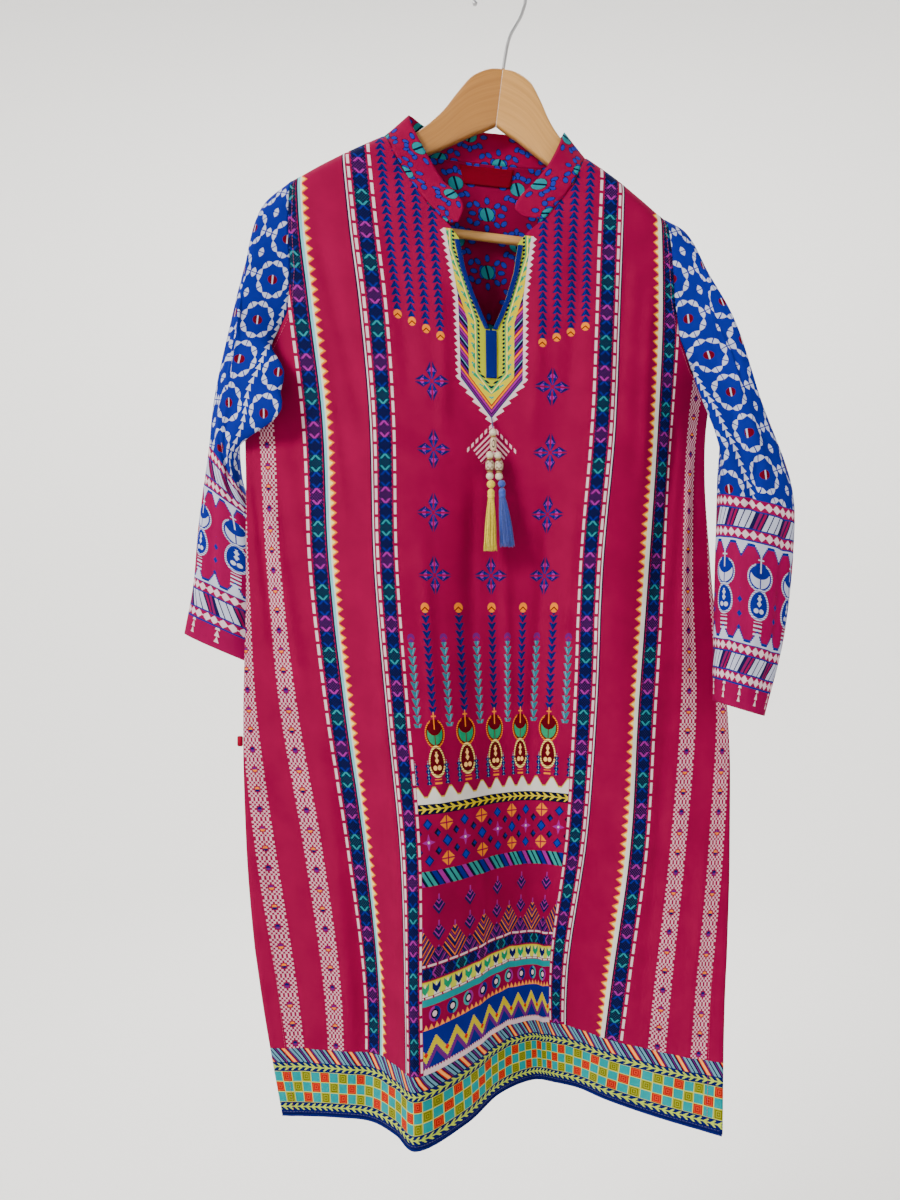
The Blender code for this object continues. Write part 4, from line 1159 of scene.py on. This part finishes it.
def hanger_arm(name, side, material, nodes):
    """One arm as a loft of rounded sections along its length."""
    outs = [p[0] for p in ARM]
    stations = np.concatenate((np.linspace(0.15, 190, 70), [194, 198, 200.5, 202, 203]))
    count = 28
    points, cut = [], []
    for out in stations:
        top, low = curve_through(outs, [p[1] for p in ARM], out), curve_through(outs, [p[2] for p in ARM], out)
        middle_drop, half = (top + low) / 2 * MM, (low - top) / 2 * MM
        thick = 0.006 * min(1.0, 0.55 + half / (22 * MM))
        for k in range(count):
            angle = 2 * math.pi * k / count
            up = math.copysign(abs(math.cos(angle)) ** 0.50, math.cos(angle))
            deep = math.copysign(abs(math.sin(angle)) ** 0.42, math.sin(angle))
            points.append(tuple(hanger_place(side * out * MM, middle_drop - half * up, thick * deep)))
            cut.append((math.hypot(out, float(middle_drop) / MM) * MM, float(-half * up) + 0.3 * thick * deep))
    mesh = bpy.data.meshes.new(name)
    rows = len(stations)
    faces = grid_faces(rows, count, closed=True)
    faces += [tuple(range(count)), tuple(reversed(range((rows - 1) * count, rows * count)))]
    mesh.from_pydata(points, [], faces)
    layer = mesh.uv_layers.new(name="cut")
    for loop in mesh.loops:
        layer.data[loop.index].uv = cut[loop.vertex_index]
    shape = bmesh.new()
    shape.from_mesh(mesh)
    bmesh.ops.recalc_face_normals(shape, faces=shape.faces)
    shape.to_mesh(mesh)
    shape.free()
    piece = add_piece(name, mesh, material, nodes)
    mesh.set_sharp_from_angle(angle=math.radians(60))
    return piece


# The left arm takes a darker copy of the hanger's wood: painted shade on that arm. The right arm and the bar carry the
# wood's own pale tone.
shaded_wood_copy = wood("hanger wood in painted shade", (0.38, 0.165, 0.030), (0.28, 0.110, 0.017))
light_wood = wood("pale straight-grained wood", (0.57, 0.29, 0.075), (0.44, 0.205, 0.045))
hanger_arm("arm_left", -1, shaded_wood_copy, ["hanger_arm_left"])
hanger_arm("arm_right", 1, light_wood, ["hanger_arm_right"])
bar_line = [tuple(hanger_place(out, 0.1781, 0.0)) for out in np.linspace(-0.1985, 0.1985, 60)]
round_tube("round_bar", bar_line, 4.75 * MM, light_wood, ["hanger_bar"], sides=24)

# Hook
# Plain zinc-plated wire, bent round, with a ball formed on its free end, and driven into the wood.
steel = bpy.data.materials.new("zinc-plated wire")
steel.use_nodes = True
shader = steel.node_tree.nodes["Principled BSDF"]
shader.inputs["Base Color"].default_value = (0.42, 0.42, 0.43, 1)
shader.inputs["Metallic"].default_value = 1.0
shader.inputs["Roughness"].default_value = 0.32
centre = np.array((0, 0, 1.8 * MM - 0.027))
turns = np.radians(np.concatenate((np.linspace(196, 184, 22), np.linspace(181, -20, 56))))
bend = [centre + 0.027 * np.array((math.cos(a), 0, math.sin(a))) for a in turns]
shank = [(x * MM, 0, z * MM) for x, z in ((22, -44), (16.5, -54), (11.5, -63), (8, -74), (5.5, -87), (3.5, -99.8))]
keys = np.linspace(0, 1, len(shank) + 1)
path = np.array([bend[-1]] + [np.array(p) for p in shank])
fine = np.linspace(0, 1, 50)[1:]
tail_line = np.stack([curve_through(keys, path[:, k], fine) for k in range(3)], -1)
hook_line = np.concatenate((bend, tail_line))
from_end = np.concatenate((0.027 * (turns[0] - turns), np.full(len(tail_line), 0.2)))
ball = np.sqrt(np.maximum((2.7 * MM) ** 2 - (from_end - 2.5 * MM) ** 2, 0))
radii = np.where(from_end < 2.5 * MM, ball, np.maximum(ball, 1.8 * MM))
round_tube("wire_hook", hook_line, radii, steel, ["hanger_hook"], sides=16)

# Neck pendant
# A navy thread with polished bone beads: a round one, a barrel with dark ovals, then two strings with carved
# beads, ending in a yellow and a blue cotton bead with a bound tassel under each.
BEADS = [
    ("bead_top", -8.7, -490.2, 8.0, 0), ("bead_barrel", -8.5, -502.1, 7.0, 15.0),
    ("bead_left_1", -12.0, -513.3, 8.0, 0), ("bead_right_1", -3.6, -513.7, 8.0, 0),
    ("bead_left_carved", -12.0, -524.1, 9.0, 12.8), ("bead_right_carved", -2.65, -524.5, 9.0, 12.8),
    ("bead_left_2", -12.0, -534.9, 8.0, 0), ("bead_right_2", -2.6, -535.3, 8.0, 0),
    ("bead_yellow", -10.8, -543.4, 8.6, 0), ("bead_blue", 0.2, -542.9, 7.8, 0),
]
PENDANT_DEPTH = -0.0290


def bone_material(name, pale, kind):
    """Bone with faint growth lines; kind cuts dark ovals or a band of carving into it."""
    material = bpy.data.materials.new(name)
    material.use_nodes = True
    tree = material.node_tree
    shader = tree.nodes["Principled BSDF"]
    place = tree.nodes.new("ShaderNodeUVMap")
    place.uv_map = "cut"
    parts = tree.nodes.new("ShaderNodeSeparateXYZ")
    tree.links.new(place.outputs[0], parts.inputs[0])
    round_by = Signal(tree, parts.outputs[0])
    height = Signal(tree, parts.outputs[1])
    spot = Signal(tree, place.outputs[0])
    speck = spot.node("ShaderNodeTexNoise", None, {0: spot, 2: 9.0, 3: 4.0})
    shade = speck.node("ShaderNodeMapRange", None, {0: speck, 1: 0.35, 2: 0.65})
    dull = tuple(c * 0.62 for c in pale)
    colour = shade.node("ShaderNodeMix", {"data_type": "RGBA"}, {0: shade, 6: (*pale, 1), 7: (*dull, 1)}, 2)
    if kind == "oval":
        x = round_by.off(0.25) / 0.075
        y = (height - 0.5) / 0.27
        mask = (x * x + y * y).math("COMPARE", 0.8, 0.35)
        colour = mask.node("ShaderNodeMix", {"data_type": "RGBA"}, {0: mask, 6: colour, 7: (0.05, 0.02, 0.01, 1)}, 2)
    if kind == "carved":
        zigzag = abs(abs(round_by.off(0.166)) * 3.0 + 0.10 - abs(height - 0.5)) < 0.055
        rims = abs(abs(height - 0.5) - 0.40) < 0.045
        mask = (zigzag + rims).math("MINIMUM", 1.0)
        colour = mask.node("ShaderNodeMix", {"data_type": "RGBA"}, {0: mask, 6: colour, 7: (0.13, 0.05, 0.02, 1)}, 2)
    tree.links.new(colour.socket, shader.inputs["Base Color"])
    shader.inputs["Roughness"].default_value = 0.34
    return material


bone = bone_material("polished bone", (0.70, 0.60, 0.42), "plain")
oval_bone = bone_material("bone with dark ovals", (0.66, 0.50, 0.30), "oval")
carved_bone = bone_material("carved bone", (0.62, 0.50, 0.34), "carved")


def thread_material(name, colour):
    material = bpy.data.materials.new(name)
    material.use_nodes = True
    tree = material.node_tree
    shader = tree.nodes["Principled BSDF"]
    coords = tree.nodes.new("ShaderNodeTexCoord")
    place = Signal(tree, coords.outputs["Object"])
    noise = place.node("ShaderNodeTexNoise", None, {0: place, 2: 700.0, 3: 2.0})
    shade = noise.node("ShaderNodeMapRange", None, {0: noise, 1: 0.3, 2: 0.7})
    dark = tuple(c * 0.55 for c in colour)
    mixed = shade.node("ShaderNodeMix", {"data_type": "RGBA"}, {0: shade, 6: (*colour, 1), 7: (*dark, 1)}, 2)
    tree.links.new(mixed.socket, shader.inputs["Base Color"])
    shader.inputs["Roughness"].default_value = 0.7
    shader.inputs["Sheen Weight"].default_value = 0.3
    return material


yellow_thread = thread_material("bright yellow thread", (0.86, 0.66, 0.01))
blue_thread = thread_material("blue thread", (0.02, 0.06, 0.42))
navy_thread = thread_material("navy thread", (0.012, 0.02, 0.14))


def turned(name, x, z, profile, material, nodes=(), steps=24, y=PENDANT_DEPTH + 1.2 * MM):
    """A turned shape from a profile of (radius, height) in millimetres, centred on one place."""
    points, faces, cut = [], [], []
    rows = len(profile)
    span = profile[0][1] - profile[-1][1]
    for radius, height in profile:
        for k in range(steps):
            a = 2 * math.pi * k / steps
            points.append(((x + radius * math.cos(a)) * MM, y + radius * MM * math.sin(a), (z + height) * MM))
            cut.append((k / steps, (height - profile[-1][1]) / span))
    faces = grid_faces(rows, steps, closed=True)
    faces += [tuple(range(steps)), tuple(reversed(range((rows - 1) * steps, rows * steps)))]
    mesh = bpy.data.meshes.new(name)
    mesh.from_pydata(points, [], faces)
    layer = mesh.uv_layers.new(name="cut")
    for loop in mesh.loops:
        layer.data[loop.index].uv = cut[loop.vertex_index]
    shape = bmesh.new()
    shape.from_mesh(mesh)
    bmesh.ops.recalc_face_normals(shape, faces=shape.faces)
    shape.to_mesh(mesh)
    shape.free()
    return add_piece(name, mesh, material, nodes)


def bead_profile(diameter, height):
    tall = height or diameter
    power = 0.6 if height else 1.0
    lines = []
    for k in range(1, 20):
        a = math.pi * k / 20
        h = math.copysign(abs(math.cos(a)) ** power, math.cos(a))
        lines.append((max(diameter / 2 * math.sin(a), 0.45), tall / 2 * h))
    return lines


for bead_name, x, z, diameter, height in BEADS:
    material, slot = bone, "bone"
    if bead_name == "bead_barrel":
        material = oval_bone
    if bead_name.endswith("carved"):
        material = carved_bone
    if bead_name == "bead_yellow":
        material, slot = yellow_thread, "yellow_thread"
    if bead_name == "bead_blue":
        material, slot = blue_thread, "blue_thread"
    turned(bead_name.replace("bead_", "pendant_"), x, z, bead_profile(diameter, height), material, [bead_name])
brass = bpy.data.materials.new("dull brass")
brass.use_nodes = True
shader = brass.node_tree.nodes["Principled BSDF"]
shader.inputs["Base Color"].default_value = (0.55, 0.38, 0.14, 1)
shader.inputs["Metallic"].default_value = 1.0
shader.inputs["Roughness"].default_value = 0.42
for k, (x, z) in enumerate(((-8.6, -494.4), (-12.0, -517.5), (-3.1, -517.9), (-12.0, -530.7), (-2.6, -531.1))):
    disc = [(2.4, 0.35), (3.3, 0.3), (3.5, 0.0), (3.3, -0.3), (2.4, -0.35)]
    turned(f"spacer_{k + 1}", x, z, disc, brass)

TASSELS = [
    ("tassel_yellow", -10.8, -548.1, 3.4, 7.0, -611, -11.6, yellow_thread),
    ("tassel_blue", 0.6, -547.2, 3.4, 7.8, -607, 5.6, blue_thread),
]
for tassel_name, x, top, head, foot_radius, foot_z, foot_x, thread in TASSELS:
    cap = [(0.8, 0), (2.0, -0.6), (3.2, -2.0), (3.7, -3.6), (3.5, -5.0), (2.9, -5.6), (3.4, -6.2), (3.7, -7.2),
           (3.5, -8.4), (3.0, -9.4), (3.3, -10.4)]
    slot = "yellow_thread" if "yellow" in tassel_name else "blue_thread"
    turned(tassel_name + "_head", x, top, cap, thread, y=PENDANT_DEPTH)
    for k in range(5):
        ring_line = []
        for a in np.linspace(0, 2 * math.pi, 25):
            ring_line.append(((x + 3.2 * math.cos(a)) * MM, PENDANT_DEPTH + 3.2 * MM * math.sin(a),
                              (top - 5.0 - 0.42 * k) * MM))
        round_tube(f"{tassel_name}_bind_{k + 1}", ring_line, 0.28 * MM, thread, sides=6)
    dice = random.Random(7 if "yellow" in tassel_name else 11)
    points, faces = [], []
    for k in range(118):
        a = k * 2.39996
        r = math.sqrt((k + 0.5) / 118)
        bend_x, bend_y = dice.uniform(-1.0, 1.0), dice.uniform(-1.0, 1.0)
        end_z = foot_z + dice.uniform(-1.5, 3.5)
        base = len(points)
        for step in range(11):
            t = step / 10
            spread = head * 0.86 + (foot_radius - head * 0.86) * t ** 0.75
            px = x + (foot_x - x) * t + r * spread * math.cos(a) + bend_x * math.sin(3.0 * t)
            py = r * spread * math.sin(a) * 0.9 + bend_y * math.sin(2.4 * t)
            pz = top - 9.4 + (end_z - top + 9.4) * t
            for side in range(4):
                b = math.pi / 2 * side + a
                points.append(((px + 0.34 * math.cos(b)) * MM, PENDANT_DEPTH + (py + 0.34 * math.sin(b)) * MM, pz * MM))
        for quad in grid_faces(11, 4, closed=True):
            faces.append(tuple(base + i for i in quad))
        faces.append(tuple(base + i for i in range(4)))
        faces.append(tuple(base + 40 + i for i in (3, 2, 1, 0)))
    mesh = bpy.data.meshes.new(tassel_name + "_strands")
    mesh.from_pydata(points, [], faces)
    shape = bmesh.new()
    shape.from_mesh(mesh)
    bmesh.ops.recalc_face_normals(shape, faces=shape.faces)
    shape.to_mesh(mesh)
    shape.free()
    add_piece(tassel_name + "_strands", mesh, thread, [tassel_name])
thread_top = lifted(front_points, np.array([0.0]), np.array([0.287]), 0.95 * MM)[0]
thread_foot = np.array((-8.7 * MM, PENDANT_DEPTH + 1.2 * MM, -485.7 * MM))
thread_line = [thread_top + (thread_foot - thread_top) * t for t in np.linspace(0, 1, 12)]
round_tube("thread_top", thread_line, 0.6 * MM, navy_thread, ["pendant_thread"], sides=8)

# Topstitching
# Short crimson and navy stitches run beside the slit edges, the hem, the neck binding and the armholes.


def stitch_tree():
    """Short rounded stitches set along a line at a fixed pitch."""
    tree = bpy.data.node_groups.new("stitches along a line", "GeometryNodeTree")
    tree.interface.new_socket("Geometry", in_out="INPUT", socket_type="NodeSocketGeometry")
    tree.interface.new_socket("Pitch", in_out="INPUT", socket_type="NodeSocketFloat")
    tree.interface.new_socket("Thread", in_out="INPUT", socket_type="NodeSocketMaterial")
    tree.interface.new_socket("Geometry", in_out="OUTPUT", socket_type="NodeSocketGeometry")
    nodes, link = tree.nodes, tree.links.new
    start = nodes.new("NodeGroupInput")
    end = nodes.new("NodeGroupOutput")
    curve = nodes.new("GeometryNodeMeshToCurve")
    along = nodes.new("GeometryNodeCurveToPoints")
    along.mode = "LENGTH"
    stitch = nodes.new("GeometryNodeMeshCylinder")
    stitch.inputs["Vertices"].default_value = 5
    stitch.inputs["Radius"].default_value = 0.00022
    stitch.inputs["Depth"].default_value = 0.0021
    put = nodes.new("GeometryNodeInstanceOnPoints")
    real = nodes.new("GeometryNodeRealizeInstances")
    paint = nodes.new("GeometryNodeSetMaterial")
    link(start.outputs["Geometry"], curve.inputs[0])
    link(curve.outputs[0], along.inputs[0])
    link(start.outputs["Pitch"], along.inputs["Length"])
    link(along.outputs["Points"], put.inputs["Points"])
    link(stitch.outputs["Mesh"], put.inputs["Instance"])
    link(along.outputs["Rotation"], put.inputs["Rotation"])
    link(put.outputs[0], real.inputs[0])
    link(real.outputs[0], paint.inputs[0])
    link(start.outputs["Thread"], paint.inputs["Material"])
    link(paint.outputs[0], end.inputs[0])
    return tree


stitching = stitch_tree()
red_thread = thread_material("crimson thread", (0.50, 0.01, 0.10))


def stitches(name, points, thread):
    """Turns a line of points into stitches, as one plain mesh."""
    mesh = bpy.data.meshes.new(name + "_line")
    mesh.from_pydata([tuple(p) for p in points], [(k, k + 1) for k in range(len(points) - 1)], [])
    guide = bpy.data.objects.new(name + "_line", mesh)
    bpy.context.scene.collection.objects.link(guide)
    made = guide.modifiers.new("stitches", "NODES")
    made.node_group = stitching
    names = {item.name: item.identifier for item in stitching.interface.items_tree if item.in_out == "INPUT"}
    made[names["Pitch"]] = 0.0033
    made[names["Thread"]] = thread
    bpy.context.view_layer.update()
    depsgraph = bpy.context.evaluated_depsgraph_get()
    plain = bpy.data.meshes.new_from_object(guide.evaluated_get(depsgraph))
    plain.name = name
    bpy.data.objects.remove(guide)
    piece = bpy.data.objects.new(name, plain)
    bpy.context.scene.collection.objects.link(piece)
    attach(piece, "root")
    return piece


sewn_front, sewn_back = [], []
for side, word in ((-1, "left"), (1, "right")):
    v = np.linspace(SLIT_TOP + 0.004, LENGTH - 0.006, 160)
    line = lifted(front_points, side * (half_width(v) - 0.019), v, 0.15 * MM)
    sewn_front.append(stitches("slit_stitches_" + word, line, red_thread))
    line = lifted(back_points, side * (half_width(v) - 0.019), v, 0.15 * MM)
    sewn_back.append(stitches("back_slit_stitches_" + word, line, red_thread))
    v = np.linspace(SHOULDER_FALL + 0.004, UNDERARM - 0.004, 70)
    line = lifted(front_points, side * (half_width(v) - 0.004), v, 0.15 * MM)
    sewn_front.append(stitches("armhole_stitches_" + word, line, red_thread))
    v = np.linspace(0.110, 0.196, 40)
    inner_edge = np.interp(-v, [-p[1] for p in FRONT_NECK_CUT], [p[0] for p in FRONT_NECK_CUT]) + 4.6 * MM
    line = lifted(front_points, side * inner_edge, v, 1.35 * MM)
    sewn_front.append(stitches("binding_stitches_" + word, line, navy_thread))
u = np.linspace(-0.340, 0.340, 200)
line = lifted(front_points, u, np.full(200, LENGTH - 0.0028), 0.15 * MM)
sewn_front.append(stitches("hem_stitches_front", line, navy_thread))
line = lifted(back_points, u, np.full(200, LENGTH - 0.0028), 0.15 * MM)
sewn_back.append(stitches("hem_stitches_back", line, navy_thread))

# Camera, floor and light
# The photo's view, straight on and a little above the middle, over a plain pale studio floor that rises
# all round, with one large soft light from the upper left and a weaker one from the right.
camera_data = bpy.data.cameras.new("camera")
camera_data.lens = 27.0
camera_data.sensor_width = 36.0
camera_data.clip_end = 50.0
camera = bpy.data.objects.new("camera", camera_data)
camera.location = (-0.053, -0.954, -0.6625)
camera.rotation_euler = (math.radians(90), 0, 0)
bpy.context.scene.collection.objects.link(camera)
bpy.context.scene.camera = camera

rings = [(r, -1.75 + 0.0) for r in np.linspace(0.0005, 2.6, 16)]
rings += [(2.6 + 1.2 * math.sin(a), -1.75 + 1.2 * (1 - math.cos(a))) for a in np.linspace(0.12, math.pi / 2, 14)]
rings += [(3.8, -0.55 + h) for h in np.linspace(0.3, 3.7, 8)]
floor_points = []
for r, z in rings:
    for k in range(72):
        a = 2 * math.pi * k / 72
        floor_points.append((r * math.cos(a), r * math.sin(a), z))
floor_mesh = bpy.data.meshes.new("floor")
floor_mesh.from_pydata(floor_points, [], grid_faces(len(rings), 72, closed=True))
floor_mesh.shade_smooth()
floor_material = bpy.data.materials.new("pale floor")
floor_material.use_nodes = True
floor_shader = floor_material.node_tree.nodes["Principled BSDF"]
floor_shader.inputs["Base Color"].default_value = (0.82, 0.81, 0.79, 1)
floor_shader.inputs["Roughness"].default_value = 0.9
floor_mesh.materials.append(floor_material)
floor = bpy.data.objects.new("floor", floor_mesh)
bpy.context.scene.collection.objects.link(floor)

world = bpy.data.worlds.new("studio")
world.use_nodes = True
world.node_tree.nodes["Background"].inputs["Color"].default_value = (0.92, 0.94, 1.0, 1)
world.node_tree.nodes["Background"].inputs["Strength"].default_value = 0.40
bpy.context.scene.world = world
for name, place, aim, size, power, colour in (
        ("key", (-2.1, -1.7, 0.9), (0, 0, -0.65), 0.9, 125.0, (1.0, 0.98, 0.95)),
        ("fill", (2.1, -1.9, -0.2), (0, 0, -0.65), 1.7, 9.0, (0.95, 0.97, 1.0)),
        ("rear", (0.6, 2.3, 0.9), (0, 0, -0.65), 1.8, 22.0, (1.0, 0.99, 0.97)),
        ("backdrop", (0.0, 0.9, 1.5), (0, 3.6, -0.9), 1.6, 185.0, (1.0, 0.99, 0.97))):
    lamp_data = bpy.data.lights.new(name, "AREA")
    lamp_data.size = size
    lamp_data.energy = power
    lamp_data.color = colour
    lamp = bpy.data.objects.new(name, lamp_data)
    lamp.location = place
    lamp.rotation_euler = (Vector(aim) - Vector(place)).to_track_quat("-Z", "Y").to_euler()
    bpy.context.scene.collection.objects.link(lamp)
